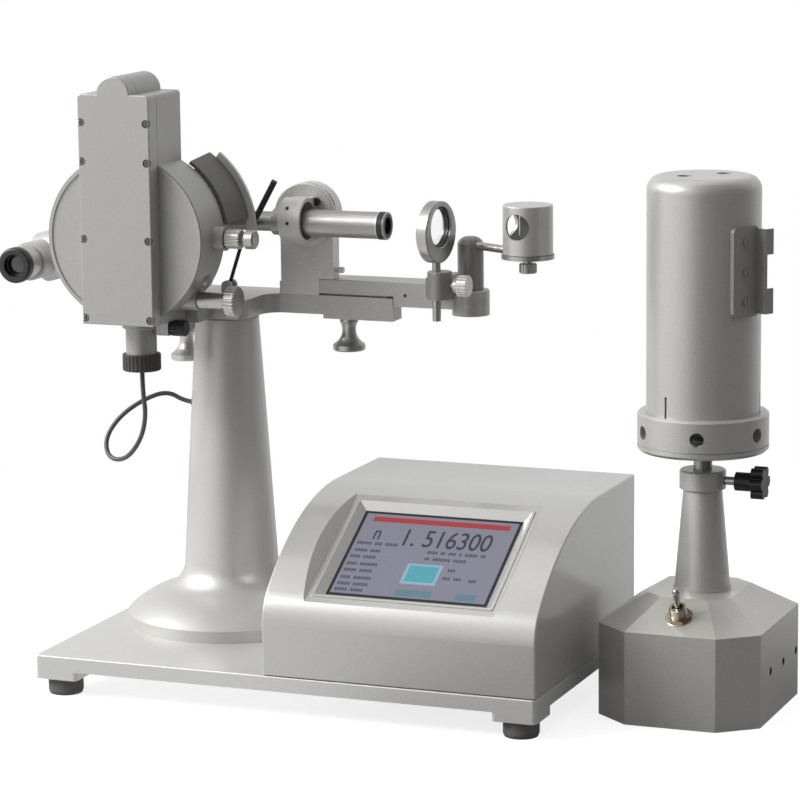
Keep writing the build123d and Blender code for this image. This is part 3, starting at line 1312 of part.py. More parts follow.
# Slow-motion knob: a larger knurled knob on a dark collar, lower down
SLOW_X = AXIS_X + SLOW_REACH + SEAT
SLOW_COLLAR_L = 23.3
slow_grip = knurled(facing_right(SLOW_X + SLOW_COLLAR_L, CLAMP_KNOB_Y, SLOW_Z), 11.3, 7.9, 26, 0.8)
with BuildPart() as slow_motion_knob:
    with BuildSketch(facing_right(SLOW_X - 8, CLAMP_KNOB_Y, SLOW_Z)):
        Circle(2.5)
    extrude(amount=20)
    with BuildSketch(facing_right(SLOW_X, CLAMP_KNOB_Y, SLOW_Z)):
        Circle(SLOW_COLLAR_R)
    extrude(amount=SLOW_COLLAR_L)
    add(slow_grip.part)
save(slow_motion_knob, "slow_motion_knob")

# Fine knob: small and dark, under the drum
FINE_KNOB_X = FINE_X + SEAT
fine_grip = knurled(facing_right(FINE_KNOB_X, CLAMP_KNOB_Y, FINE_Z), 6, 12, 16, 0.6)
with BuildPart() as fine_knob:
    with BuildSketch(facing_right(FINE_KNOB_X - 6, CLAMP_KNOB_Y, FINE_Z)):
        Circle(2)
    extrude(amount=10)
    add(fine_grip.part)
save(fine_knob, "fine_knob")

# Hand lever: a thin bent rod with a thicker grip at its end, hinged in the fork
with BuildPart() as hand_lever:
    with BuildSketch(upright(LEVER_X, LEVER_Y - FORK_GAP / 2 + SEAT, LEVER_Z)):
        Circle(LEVER_HUB_R)
        Circle(LEVER_PIN_R + RUN, mode=Mode.SUBTRACT)
    extrude(amount=-(FORK_GAP - 2 * SEAT))
    lower_dir = Vector(LEVER_BEND[0] - LEVER_X, 0, LEVER_BEND[1] - LEVER_Z)
    lower_start = Vector(LEVER_X, LEVER_Y, LEVER_Z) + lower_dir.normalized() * 2.8
    with BuildSketch(Plane(origin=lower_start, z_dir=lower_dir)):
        Circle(1.4)
    extrude(amount=lower_dir.length - 2.8)
    with Locations((LEVER_BEND[0], LEVER_Y, LEVER_BEND[1])):
        Sphere(1.4)
    upper_dir = Vector(LEVER_TOP[0] - LEVER_BEND[0], 0, LEVER_TOP[1] - LEVER_BEND[1])
    with BuildSketch(Plane(origin=(LEVER_BEND[0], LEVER_Y, LEVER_BEND[1]), z_dir=upper_dir)):
        Circle(1.4)
    extrude(amount=upper_dir.length)
    with BuildSketch(Plane(origin=(LEVER_TOP[0], LEVER_Y, LEVER_TOP[1]), z_dir=upper_dir)):
        Circle(2.3)
    extrude(amount=-LEVER_GRIP_L)
save(hand_lever, "hand_lever")


# Lamp base: eight-sided, with a bevelled top
def octagon(width, depth, cut_x, cut_y):
    w = width / 2
    d = depth / 2
    with BuildLine() as outline:
        Polyline(
            (-w, -d + cut_y), (-w + cut_x, -d), (w - cut_x, -d), (w, -d + cut_y),
            (w, d - cut_y), (w - cut_x, d), (-w + cut_x, d), (-w, d - cut_y), (-w, -d + cut_y),
        )
    return outline


TOP_SCALE = (LAMP_W - 2 * LAMP_BEVEL + 14) / LAMP_W
lamp_plane = level(LAMP_X, LAMP_Y, 0)
with BuildPart() as lamp_base:
    with BuildSketch(lamp_plane):
        add(octagon(LAMP_W, LAMP_D, LAMP_CUT_X, LAMP_CUT_Y))
        make_face()
    extrude(amount=LAMP_SIDE_H)
    with BuildSketch(lamp_plane.offset(LAMP_SIDE_H)):
        add(octagon(LAMP_W, LAMP_D, LAMP_CUT_X, LAMP_CUT_Y))
        make_face()
    with BuildSketch(lamp_plane.offset(LAMP_TOP_H)):
        add(octagon(LAMP_W * TOP_SCALE, LAMP_D * TOP_SCALE, LAMP_CUT_X * TOP_SCALE, LAMP_CUT_Y * TOP_SCALE))
        make_face()
    loft()
    fillet(lamp_base.edges().filter_by(Axis.Z), 1.5)
    # room inside for the lamp's supply, open below
    with BuildSketch(lamp_plane):
        add(octagon(LAMP_W - 6, LAMP_D - 6, LAMP_CUT_X - 1, LAMP_CUT_Y - 1))
        make_face()
    extrude(amount=LAMP_SIDE_H - 3, mode=Mode.SUBTRACT)
    # three round sockets in the right side
    with BuildSketch(facing_right(LAMP_X + LAMP_W / 2, LAMP_Y, 0)):
        with Locations((-24, 35), (10, 34), (44, 34)):
            Circle(3.2)
    extrude(amount=-3.5, mode=Mode.SUBTRACT)
save(lamp_base, "lamp_base")

# Lamp post: a tapered tube with a collar, bored for the stem
LAMP_AXIS = Axis((LAMP_POST_X, LAMP_Y, 0), (0, 0, 1))
with BuildPart() as lamp_post:
    with BuildSketch(upright(LAMP_POST_X, LAMP_Y, 0)):
        with BuildLine():
            Polyline(
                (LAMP_STEM_R + RUN, LAMP_TOP_H),
                (LAMP_POST_R0 + 0.6, LAMP_TOP_H),
                (LAMP_POST_R0 + 0.6, LAMP_TOP_H + 3),
                (LAMP_POST_R0, LAMP_TOP_H + 3),
                (LAMP_POST_R1, LAMP_POST_Z1),
                (LAMP_COLLAR_R, LAMP_POST_Z1 + 1.5),
                (LAMP_COLLAR_R, LAMP_POST_Z1 + LAMP_COLLAR_H - 1),
                (LAMP_COLLAR_R - 1, LAMP_POST_Z1 + LAMP_COLLAR_H),
                (LAMP_STEM_R + RUN, LAMP_POST_Z1 + LAMP_COLLAR_H),
                (LAMP_STEM_R + RUN, LAMP_TOP_H),
            )
        make_face()
    revolve(axis=LAMP_AXIS)
    with BuildSketch(facing_right(LAMP_POST_X, LAMP_Y, LAMP_POST_Z1 + LAMP_COLLAR_H / 2)):
        Circle(3.0 + RUN)
    extrude(amount=30, mode=Mode.SUBTRACT)
save(lamp_post, "lamp_post")

# Star knob on the collar
STAR_Z = LAMP_POST_Z1 + LAMP_COLLAR_H / 2
with BuildPart() as star_knob:
    with BuildSketch(facing_right(LAMP_POST_X + LAMP_STEM_R + 0.4, LAMP_Y, STAR_Z)):
        Circle(3.0)
    extrude(amount=LAMP_COLLAR_R - LAMP_STEM_R + 9)
    with BuildSketch(facing_right(LAMP_POST_X + LAMP_COLLAR_R + 8.0, LAMP_Y, STAR_Z)):
        Circle(6.7)
    extrude(amount=13)
    with BuildSketch(facing_right(LAMP_POST_X + LAMP_COLLAR_R + 20.7, LAMP_Y, STAR_Z)):
        Circle(8.5)
        with PolarLocations(8.4, 6):
            Circle(3.8)
        with PolarLocations(12.0, 6, start_angle=30):
            Circle(2.6, mode=Mode.SUBTRACT)
    extrude(amount=9.0)
save(star_knob, "star_knob")

# Lamp stem: the rod that slides in the post and carries the ring
with BuildPart() as lamp_stem:
    with BuildSketch(Plane.XY.offset(LAMP_RING_Z0 - LAMP_STEM_IN)):
        with Locations((LAMP_POST_X, LAMP_Y)):
            Circle(LAMP_STEM_R)
    extrude(amount=LAMP_STEM_IN - SEAT)
    chamfer(lamp_stem.faces().sort_by(Axis.Z)[0].edges(), 1)
    with BuildSketch(Plane.XY.offset(LAMP_RING_Z0 - SEAT)):
        with Locations((LAMP_POST_X, LAMP_Y)):
            Circle(4.0)
    extrude(amount=2.8)
save(lamp_stem, "lamp_stem")

# Bottom ring of the lamp house, with a row of round vents
with BuildPart() as lamp_ring:
    with BuildSketch(upright(LAMP_POST_X, LAMP_Y, LAMP_RING_Z0)):
        with BuildLine():
            Polyline(
                (4.0 + RUN, 2.9),
                (4.0 + RUN, 0),
                (LAMP_RING_R - 2, 0),
                (LAMP_RING_R, 2),
                (LAMP_RING_R, 4.5),
                (LAMP_RING_R - 0.7, 4.5),
                (LAMP_RING_R - 0.7, 5.5),
                (LAMP_RING_R, 5.5),
                (LAMP_RING_R, LAMP_RING_H - 1.5),
                (LAMP_RING_R - 1.5, LAMP_RING_H),
                (LAMP_SHELL_R + 0.1, LAMP_RING_H),
                (LAMP_SHELL_R + 0.1, LAMP_RING_H - 8),
                (LAMP_SHELL_R - 2, LAMP_RING_H - 8),
                (LAMP_SHELL_R - 2, 2.9),
                (4.0 + RUN, 2.9),
            )
        make_face()
    revolve(axis=LAMP_AXIS)
    for step in range(6):
        turn = radians(-79 + 60 * step)
        vent_dir = Vector(cos(turn), sin(turn), 0)
        with BuildSketch(Plane(origin=Vector(LAMP_POST_X, LAMP_Y, LAMP_RING_Z0 + 15) + vent_dir * 30, z_dir=vent_dir)):
            Circle(5.1)
        extrude(amount=30, mode=Mode.SUBTRACT)
save(lamp_ring, "lamp_ring")

# Lamp shell: a round-shouldered can with two vents in its top and a light window
with BuildPart() as lamp_shell:
    shell_z0 = LAMP_RING_Z0 + LAMP_RING_H - 8
    height = LAMP_SHELL_TOP - shell_z0
    with BuildSketch(upright(LAMP_POST_X, LAMP_Y, shell_z0)):
        with BuildLine():
            Line((0, height), (LAMP_SHELL_R - LAMP_SHOULDER_R, height))
            RadiusArc((LAMP_SHELL_R - LAMP_SHOULDER_R, height), (LAMP_SHELL_R, height - LAMP_SHOULDER_R), LAMP_SHOULDER_R)
            Polyline(
                (LAMP_SHELL_R, height - LAMP_SHOULDER_R),
                (LAMP_SHELL_R, 0),
                (LAMP_SHELL_R - LAMP_WALL, 0),
                (LAMP_SHELL_R - LAMP_WALL, height - LAMP_SHOULDER_R),
            )
            inner = LAMP_SHOULDER_R - LAMP_WALL
            RadiusArc(
                (LAMP_SHELL_R - LAMP_SHOULDER_R, height - LAMP_WALL),
                (LAMP_SHELL_R - LAMP_WALL, height - LAMP_SHOULDER_R), inner,
            )
            Polyline((LAMP_SHELL_R - LAMP_SHOULDER_R, height - LAMP_WALL), (0, height - LAMP_WALL), (0, height))
        make_face()
    revolve(axis=LAMP_AXIS)
    # two round vents in the top
    with BuildSketch(Plane.XY.offset(LAMP_SHELL_TOP)):
        with Locations((LAMP_POST_X, LAMP_Y)):
            with PolarLocations(VENT_REACH, 2, start_angle=VENT_TURN):
                Circle(5.5)
    extrude(amount=-6, mode=Mode.SUBTRACT)
    # upright slots at the lower edge
    for step in range(3):
        turn = radians(-114 + 120 * step)
        slot_dir = Vector(cos(turn), sin(turn), 0)
        slot_plane = Plane(
            origin=Vector(LAMP_POST_X, LAMP_Y, shell_z0 + 14.5) + slot_dir * (LAMP_SHELL_R - 6),
            x_dir=Vector(-sin(turn), cos(turn), 0), z_dir=slot_dir,
        )
        with BuildSketch(slot_plane):
            Rectangle(1.8, 17)
        extrude(amount=12, mode=Mode.SUBTRACT)
    # light window, towards the mirror
    with BuildSketch(Plane(origin=(LAMP_POST_X, LAMP_Y, OPT_Z), x_dir=(0, -1, 0), z_dir=(-1, 0, 0))):
        SlotOverall(34, 16, rotation=90)
    extrude(amount=60, mode=Mode.SUBTRACT)
save(lamp_shell, "lamp_shell")

# Bracket on the shell: a curved plate with a slotted channel beside it
BRACKET_TURN = -30.0
turn = radians(BRACKET_TURN)
bracket_dir = Vector(cos(turn), sin(turn), 0)
bracket_side = Vector(-sin(turn), cos(turn), 0)
BRACKET_Z0 = 288.0
BRACKET_Z1 = 352.0


def bracket_plane(reach, z):
    origin = Vector(LAMP_POST_X, LAMP_Y, z) + bracket_dir * reach
    return Plane(origin=origin, x_dir=bracket_side, z_dir=bracket_dir)


BRACKET_MID = (BRACKET_Z0 + BRACKET_Z1) / 2
with BuildPart() as lamp_bracket:
    with BuildSketch(bracket_plane(LAMP_SHELL_R - 6, BRACKET_MID)):
        RectangleRounded(24, BRACKET_Z1 - BRACKET_Z0, 4)
    extrude(amount=8)
    with BuildSketch(level(LAMP_POST_X, LAMP_Y, BRACKET_Z0 - 5)):
        Circle(LAMP_SHELL_R)
    extrude(amount=BRACKET_Z1 - BRACKET_Z0 + 10, mode=Mode.SUBTRACT)
    with BuildSketch(bracket_plane(LAMP_SHELL_R + 1.9, BRACKET_MID)):
        with Locations((11.0, 0)):
            Rectangle(2.0, BRACKET_Z1 - BRACKET_Z0 - 4)
    extrude(amount=9)
    with BuildSketch(bracket_plane(LAMP_SHELL_R + 9.4, BRACKET_MID)):
        with Locations((14.0, 21), (14.0, -21)):
            Rectangle(8, 18)
    extrude(amount=1.5)
    for offset_z in (-21, 0, 21):
        with BuildSketch(bracket_plane(LAMP_SHELL_R + 1.8, BRACKET_MID + offset_z)):
            Circle(3.0)
            Rectangle(0.8, 4.4, mode=Mode.SUBTRACT)
        extrude(amount=1.8)
save(lamp_bracket, "lamp_bracket")

# Spectral lamp: a glass bulb in a round cap, standing in the ring
with BuildPart() as spectral_lamp:
    with BuildSketch(upright(LAMP_POST_X, LAMP_Y, LAMP_RING_Z0 + 3)):
        with BuildLine():
            Polyline((0, 0), (17, 0), (17, 38), (9, 42), (9, 54), (13, 68), (13, 150))
            ThreePointArc((13, 150), (13 * cos(pi / 4), 150 + 13 * sin(pi / 4)), (0, 163))
            Line((0, 163), (0, 0))
        make_face()
    revolve(axis=LAMP_AXIS)
save(spectral_lamp, "spectral_lamp")

# Toggle switch on the bevel: bush with a nut, and the lever
BEVEL_MID_Y = LAMP_Y - LAMP_D / 2 + LAMP_D * (1 - TOP_SCALE) / 4
BEVEL_MID_Z = (LAMP_SIDE_H + LAMP_TOP_H) / 2
BEVEL_RISE = LAMP_TOP_H - LAMP_SIDE_H
BEVEL_RUN = LAMP_D * (1 - TOP_SCALE) / 2
bevel_length = sqrt(BEVEL_RISE ** 2 + BEVEL_RUN ** 2)
BEVEL_NORMAL = Vector(0, -BEVEL_RISE / bevel_length, BEVEL_RUN / bevel_length)
TOGGLE_AT = Vector(LAMP_X + 1.5, BEVEL_MID_Y, BEVEL_MID_Z)


def toggle_plane(height):
    return Plane(origin=TOGGLE_AT + BEVEL_NORMAL * height, x_dir=(1, 0, 0), z_dir=BEVEL_NORMAL)


with BuildPart() as toggle_bush:
    with BuildSketch(toggle_plane(0)):
        RegularPolygon(9.0, 6)
    extrude(amount=2.5)
    with BuildSketch(toggle_plane(2.5)):
        Circle(6.0)
    extrude(amount=7)
    chamfer(toggle_bush.edges().filter_by(GeomType.CIRCLE).group_by(Axis(TOGGLE_AT, BEVEL_NORMAL))[-1], 0.6)
    with BuildSketch(toggle_plane(9.5)):
        Circle(4.0)
    extrude(amount=-6, mode=Mode.SUBTRACT)
save(toggle_bush, "toggle_bush")

# The lever rocks on a ball with a cross pin, and leans up the bevel at rest
TOGGLE_LEAN = 12.0
TOGGLE_L = 14.7
lean = radians(TOGGLE_LEAN)
TOGGLE_PIVOT = TOGGLE_AT + BEVEL_NORMAL * 6.5
BEVEL_UP = Vector(0, BEVEL_RUN / bevel_length, BEVEL_RISE / bevel_length)
lever_dir = BEVEL_NORMAL * cos(lean) + BEVEL_UP * sin(lean)
with BuildPart() as toggle_lever:
    with BuildSketch(Plane(origin=TOGGLE_PIVOT, z_dir=lever_dir)):
        Circle(1.8)
    extrude(amount=TOGGLE_L, taper=-3)
    with Locations(Location(TOGGLE_PIVOT + lever_dir * TOGGLE_L)):
        Sphere(2.7)
    with Locations(Location(TOGGLE_PIVOT)):
        Sphere(2.6)
    with BuildSketch(facing_right(TOGGLE_PIVOT.X - 3.5, TOGGLE_PIVOT.Y, TOGGLE_PIVOT.Z)):
        Circle(0.9)
    extrude(amount=7)
save(toggle_lever, "toggle_lever")

# Export, with the middle of the whole set over the origin
boxes = [part.bounding_box(optimal=True) for part in pieces]
left = min(box.min.X for box in boxes)
right = max(box.max.X for box in boxes)
front = min(box.min.Y for box in boxes)
back = max(box.max.Y for box in boxes)
shift = Location((-(left + right) / 2, -(front + back) / 2, 0))
print("shift", -(left + right) / 2, -(front + back) / 2)
for part in pieces:
    moved = part.moved(shift)
    moved.label = part.label
    export_step(moved, "parts/" + part.label + ".step")
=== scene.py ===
import math

import bmesh
import bpy
from mathutils import Matrix, Vector


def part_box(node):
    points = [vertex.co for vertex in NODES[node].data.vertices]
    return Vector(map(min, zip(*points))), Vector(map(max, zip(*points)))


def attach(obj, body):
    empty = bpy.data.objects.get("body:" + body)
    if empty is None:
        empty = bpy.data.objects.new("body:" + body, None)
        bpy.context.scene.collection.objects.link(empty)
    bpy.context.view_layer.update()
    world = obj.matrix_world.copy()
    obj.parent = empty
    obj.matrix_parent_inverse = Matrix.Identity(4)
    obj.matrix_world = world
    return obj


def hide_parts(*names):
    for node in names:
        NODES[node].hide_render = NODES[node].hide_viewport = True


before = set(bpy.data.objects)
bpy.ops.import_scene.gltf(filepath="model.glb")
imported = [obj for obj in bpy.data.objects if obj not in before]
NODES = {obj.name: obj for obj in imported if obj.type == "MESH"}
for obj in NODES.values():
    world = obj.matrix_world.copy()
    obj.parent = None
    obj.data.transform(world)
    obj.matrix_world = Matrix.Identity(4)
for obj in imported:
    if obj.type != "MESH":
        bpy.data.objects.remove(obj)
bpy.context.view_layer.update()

# Places and sizes are given in the drawing's millimetres, unless a comment says metres.
# The drawing has its origin under the middle of the base plate.
PLATE_LO, PLATE_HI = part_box("base_plate")
SHIFT = (PLATE_LO.x + PLATE_HI.x) / 2
RIGHT = (1, 0, 0)
FRONT = (0, -1, 0)


def at(x, y, z):
    # A point of the drawing, in metres in the row frame
    return Vector((x / 1000 + SHIFT, y / 1000, z / 1000))


def mm(value):
    return value / 1000


def link_object(name, data):
    made = bpy.data.objects.new(name, data)
    bpy.context.scene.collection.objects.link(made)
    return made


# Camera, solved from the edges of the plate and the console
CAMERA_ANGLES = (79.7684, 0.5993, 21.5698)
camera = link_object("camera", bpy.data.cameras.new("camera"))
camera.location = at(971.13, -2324.5, 664.9)
camera.rotation_euler = [math.radians(angle) for angle in CAMERA_ANGLES]
camera.data.lens = 156.0
camera.data.sensor_width = 36.0
camera.data.clip_end = 60.0
bpy.context.scene.camera = camera


# Signal cable: from the ring nut, round in a loop, into the column's grommet
CABLE_D = 3.5
CABLE_ROUTE = [
    (-143.0, -39.0, 237.2),
    (-143.0, -39.0, 216.0),
    (-142.5, -35.0, 197.5),
    (-150.0, -29.0, 177.0),
    (-166.0, -23.0, 159.5),
    (-184.0, -16.0, 158.0),
    (-190.0, -9.5, 172.0),
    (-181.5, -1.5, 188.0),
    (-166.5, 8.5, 200.0),
    (-151.0, 20.0, 206.0),
    (-139.03, 27.0, 197.0),
    (-128.83, 27.0, 197.0),
]


def cord_curve(name, route, diameter):
    # The radius sits on the points, because a curve's box is grown by it
    curve = bpy.data.curves.new(name, "CURVE")
    curve.dimensions = "3D"
    spline = curve.splines.new("NURBS")
    spline.points.add(len(route) - 1)
    for point, place in zip(spline.points, route):
        point.co = (*at(*place), 1.0)
        point.radius = mm(diameter / 2)
    spline.order_u = 3
    spline.use_endpoint_u = True
    spline.resolution_u = 12
    curve.bevel_depth = 1.0
    curve.bevel_resolution = 6
    curve.use_fill_caps = True
    return link_object(name, curve)


cable = cord_curve("cable_to_column", CABLE_ROUTE, CABLE_D)
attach(cable, "stand")
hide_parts("signal_cable")


class Graph:
    # A node tree, with short ways to add nodes and link them
    def __init__(self, tree):
        self.tree = tree

    def add(self, kind, **settings):
        node = self.tree.nodes.new(kind)
        for key, value in settings.items():
            setattr(node, key, value)
        return node

    def link(self, output, socket):
        self.tree.links.new(output, socket)

    def feed(self, socket, value):
        # A value is set on the socket, and another node's output is linked to it
        if isinstance(value, (float, tuple)):
            socket.default_value = value
        else:
            self.link(value, socket)

    def remap(self, value, low, high, from_low=0.15, from_high=0.85):
        # A smooth change from low to high. The usual span is the one that a noise covers.
        node = self.add("ShaderNodeMapRange", interpolation_type="SMOOTHSTEP")
        node.inputs["From Min"].default_value = from_low
        node.inputs["From Max"].default_value = from_high
        node.inputs["To Min"].default_value = low
        node.inputs["To Max"].default_value = high
        self.link(value, node.inputs["Value"])
        return node.outputs["Result"]

    def mix_values(self, factor, a, b):
        node = self.add("ShaderNodeMix")
        self.link(factor, node.inputs["Factor"])
        self.feed(node.inputs["A"], a)
        self.feed(node.inputs["B"], b)
        return node.outputs["Result"]

    def mix_shaders(self, factor, first, second):
        node = self.add("ShaderNodeMixShader")
        self.feed(node.inputs["Fac"], factor)
        self.link(first, node.inputs[1])
        self.link(second, node.inputs[2])
        return node.outputs[0]

    def larger(self, a, b):
        node = self.add("ShaderNodeMath", operation="MAXIMUM")
        self.link(a, node.inputs[0])
        self.link(b, node.inputs[1])
        return node.outputs[0]

    def emission(self, strength):
        node = self.add("ShaderNodeEmission")
        self.feed(node.inputs["Strength"], strength)
        return node.outputs[0]

    def surface(self, shader):
        self.link(shader, self.tree.nodes["Material Output"].inputs["Surface"])


# Materials. Each is made of nodes over the piece's own coordinates, in metres.
def linear(rgb):
    out = []
    for c in rgb:
        c /= 255
        out.append(c / 12.92 if c <= 0.04045 else ((c + 0.055) / 1.055) ** 2.4)
    return (*out, 1.0)


def shade(rgb, factor):
    return tuple(min(255.0, c * factor) for c in rgb)


def dimmed(colour, factor):
    return (*(c * factor for c in colour[:3]), 1.0)


class Shader(Graph):
    def __init__(self, name):
        self.material = bpy.data.materials.new(name)
        self.material.use_nodes = True
        super().__init__(self.material.node_tree)
        self.bsdf = self.tree.nodes["Principled BSDF"]
        self.coords = self.add("ShaderNodeTexCoord").outputs["Object"]
        self.last_normal = None

    def give(self, name, value):
        # One input of the surface, by its name
        self.feed(self.bsdf.inputs[name], value)

    def stretched(self, scale):
        # Coordinates scaled by different amounts along X, Y and Z
        mapping = self.add("ShaderNodeMapping")
        mapping.inputs["Scale"].default_value = scale
        self.link(self.coords, mapping.inputs["Vector"])
        return mapping.outputs["Vector"]

    def noise(self, scale, detail=2.0, vector=None):
        node = self.add("ShaderNodeTexNoise")
        node.inputs["Scale"].default_value = scale
        node.inputs["Detail"].default_value = detail
        self.link(vector or self.coords, node.inputs["Vector"])
        return node.outputs["Fac"]

    def clouds(self, scale, a, b, detail=2.0):
        # Soft patches of two tones
        return self.mix(self.remap(self.noise(scale, detail), 0.0, 1.0), a, b)

    def haze(self, scale, low, high):
        # Roughness that varies softly. It never crosses 0.274, where the denoiser
        # changes its view of a surface and would draw a thin line.
        self.give("Roughness", self.remap(self.noise(scale), low, high))

    def mix(self, factor, a, b):
        node = self.add("ShaderNodeMix", data_type="RGBA")
        self.link(factor, node.inputs["Factor"])
        self.feed(node.inputs[6], a)
        self.feed(node.inputs[7], b)
        return node.outputs[2]

    def bump(self, height, depth, strength):
        # depth is the height of the relief in metres
        node = self.add("ShaderNodeBump")
        node.inputs["Strength"].default_value = strength
        node.inputs["Distance"].default_value = depth
        self.link(height, node.inputs["Height"])
        if self.last_normal:
            self.link(self.last_normal, node.inputs["Normal"])
        self.last_normal = node.outputs["Normal"]
        self.give("Normal", self.last_normal)


SPECKLE_LOW, SPECKLE_HIGH = 0.35, 0.7
PAINT_CLOUD = 0.012


def paint(name, rgb, rough=0.36, coat=0.35, peel=0.00003, speckle=0.03, flake=0.45):
    # Silver enamel: very faint cloudiness, fine metal flakes, orange peel and a little clear coat
    s = Shader(name)
    tone = s.clouds(7.0, linear(shade(rgb, 1 - PAINT_CLOUD)), linear(shade(rgb, 1 + PAINT_CLOUD)))
    dots = s.remap(s.noise(1500.0, 1.0), 0.0, 1.0, SPECKLE_LOW, SPECKLE_HIGH)
    s.give("Base Color", s.mix(dots, tone, linear(shade(rgb, 1 - speckle))))
    s.haze(12.0, rough - 0.03, rough + 0.04)
    s.give("Metallic", flake)
    s.give("Coat Weight", coat)
    s.give("Coat Roughness", 0.14)
    s.bump(s.noise(380.0, 1.0), peel, 0.4)
    s.bump(s.noise(2200.0, 1.0), 0.00001, 0.4)
    return s.material


def cast(name, rgb, flake=0.35):
    # Painted casting: slightly rougher, with the grain of cast metal under it
    s = Shader(name)
    tone = s.clouds(16.0, linear(shade(rgb, 0.97)), linear(shade(rgb, 1.03)), 3.0)
    dots = s.remap(s.noise(1300.0), 0.0, 1.0, SPECKLE_LOW, SPECKLE_HIGH)
    s.give("Base Color", s.mix(dots, tone, linear(shade(rgb, 0.93))))
    s.haze(30.0, 0.38, 0.48)
    s.give("Metallic", flake)
    s.give("Coat Weight", 0.2)
    s.give("Coat Roughness", 0.25)
    s.bump(s.noise(240.0), 0.00006, 0.5)
    s.bump(s.noise(1100.0), 0.00003, 0.5)
    return s.material


def metal(name, rgb, rough, brush=(3000.0, 90.0, 90.0), depth=0.000006, anisotropy=0.3):
    # Turned or brushed metal: fine lines across one direction and a faint haze
    s = Shader(name)
    lines = s.remap(s.noise(1.0, vector=s.stretched(brush)), 0.0, 1.0, 0.25, 0.75)
    s.give("Base Color", s.mix(lines, linear(shade(rgb, 0.92)), linear(rgb)))
    s.haze(40.0, rough - 0.04, rough + 0.06)
    s.give("Metallic", 1.0)
    s.give("Anisotropic", anisotropy)
    s.bump(lines, depth, 0.5)
    return s.material


def plastic(name, rgb, rough, grain=0.00003, scale=900.0):
    # Moulded plastic or rubber with a fine eroded texture
    s = Shader(name)
    s.give("Base Color", s.clouds(60.0, linear(shade(rgb, 0.9)), linear(shade(rgb, 1.1)), 3.0))
    s.haze(90.0, rough - 0.05, rough + 0.07)
    s.bump(s.noise(scale), grain, 0.6)
    return s.material


def glass(name):
    # Polished optical glass, with a coating whose faint tone varies over it
    s = Shader(name)
    tint = (250, 252, 251)
    tone = s.add("ShaderNodeValToRGB")
    low, high = tone.color_ramp.elements
    low.position, low.color = 0.3, linear(tint)
    high.position, high.color = 0.7, linear(shade(tint, 0.985))
    s.link(s.noise(30.0, 1.0), tone.inputs["Fac"])
    s.give("Base Color", tone.outputs["Color"])
    s.haze(90.0, 0.0, 0.02)
    s.give("Transmission Weight", 1.0)
    s.give("IOR", 1.52)
    return s.material


def prism_glass(name):
    # Glass seen partly straight through, as the ground sides of the prism scatter the rest
    s = Shader(name)
    s.give("Base Color", s.clouds(60.0, linear((222, 228, 228)), linear((236, 240, 240))))
    s.haze(120.0, 0.08, 0.16)
    s.give("Transmission Weight", 0.6)
    s.give("IOR", 1.5)
    clear = s.add("ShaderNodeBsdfTransparent").outputs[0]
    s.surface(s.mix_shaders(0.4, s.bsdf.outputs[0], clear))
    return s.material


LIGHT_PAINT = paint("light_enamel", (193, 192, 189), rough=0.42, coat=0.3, flake=0.42)
PLATE_PAINT = paint("plate_enamel", (204, 203, 200), rough=0.38, flake=0.38)
CONSOLE_PAINT = paint(
    "console_enamel", (188, 187, 184), rough=0.32, coat=0.9, peel=0.00001, flake=0.42
)
DRUM_PAINT = paint(
    "drum_enamel", (172, 171, 168), rough=0.42, coat=0.15, speckle=0.05, peel=0.00006
)
FLANGE_PAINT = paint("flange_enamel", (204, 202, 198), rough=0.4, coat=0.2, flake=0.3)
BRACKET_PAINT = paint("bracket_enamel", (158, 156, 152), rough=0.4, coat=0.2)
LAMP_PAINT = paint("lamp_enamel", (190, 188, 184), coat=0.3, speckle=0.05)
# Lamp base enamel, glossier than the lamp's and mixed a little lighter: partly the base's own
# finish, partly painted light on its front faces, which the console shades from the key
LAMP_BASE_PAINT_LIT = paint(
    "lamp_base_enamel_lit", (197, 195, 190), rough=0.34, coat=0.4, speckle=0.05
)
HOOD_DARK = paint("hood_enamel", (108, 106, 101), rough=0.5, coat=0.1, flake=0.1)
# Opaque, nearly black gloss for the eye lens: painted shade standing for the dark eyepiece behind
# the glass
EYE_LENS_SHADE = paint(
    "eye_lens_shade", (30, 31, 35), rough=0.1, coat=1.0, peel=0.0, speckle=0.0, flake=0.0
)
CAST_GREY = cast("arm_enamel", (182, 180, 176))
# Collimator head, post and prism seat: the cast enamel mixed lighter than the arm's, partly painted
# light that stands for light reaching the head in the drum's shadow
CAST_LIT = cast("head_enamel_lit", (212, 210, 207), flake=0.3)
CAST_DARK = cast("carrier_enamel", (140, 138, 134))
TELESCOPE_PAINT = cast("telescope_enamel", (190, 188, 185))
SATIN = metal("satin_chrome", (186, 184, 180), 0.36)
SATIN_TUBE = metal(
    "satin_tube", (176, 174, 170), 0.42, brush=(90.0, 90.0, 3000.0), anisotropy=0.5
)
SATIN_PALE = metal("satin_pale", (206, 204, 200), 0.4)
BRIGHT = metal("bright_chrome", (214, 212, 208), 0.16)
STEEL = metal("steel", (162, 160, 157), 0.34)
DARK_STEEL = metal("dark_steel", (84, 82, 80), 0.4)
SCREW_STEEL = metal("screw_steel", (122, 120, 117), 0.34)
WARM_NICKEL = metal("warm_nickel", (200, 190, 172), 0.2)
MIRROR = metal("mirror_silver", (236, 236, 234), 0.06, depth=0.0, anisotropy=0.0)
BLACK = plastic("black_plastic", (30, 30, 31), 0.4)
DARK_GREY = plastic("dark_grey_plastic", (66, 64, 63), 0.5)
RUBBER = plastic("rubber", (98, 97, 94), 0.7, grain=0.00006, scale=500.0)
CABLE_SKIN = plastic("cable_skin", (78, 76, 74), 0.42)
GLASS = glass("optical_glass")
PRISM_GLASS = prism_glass("prism_glass")

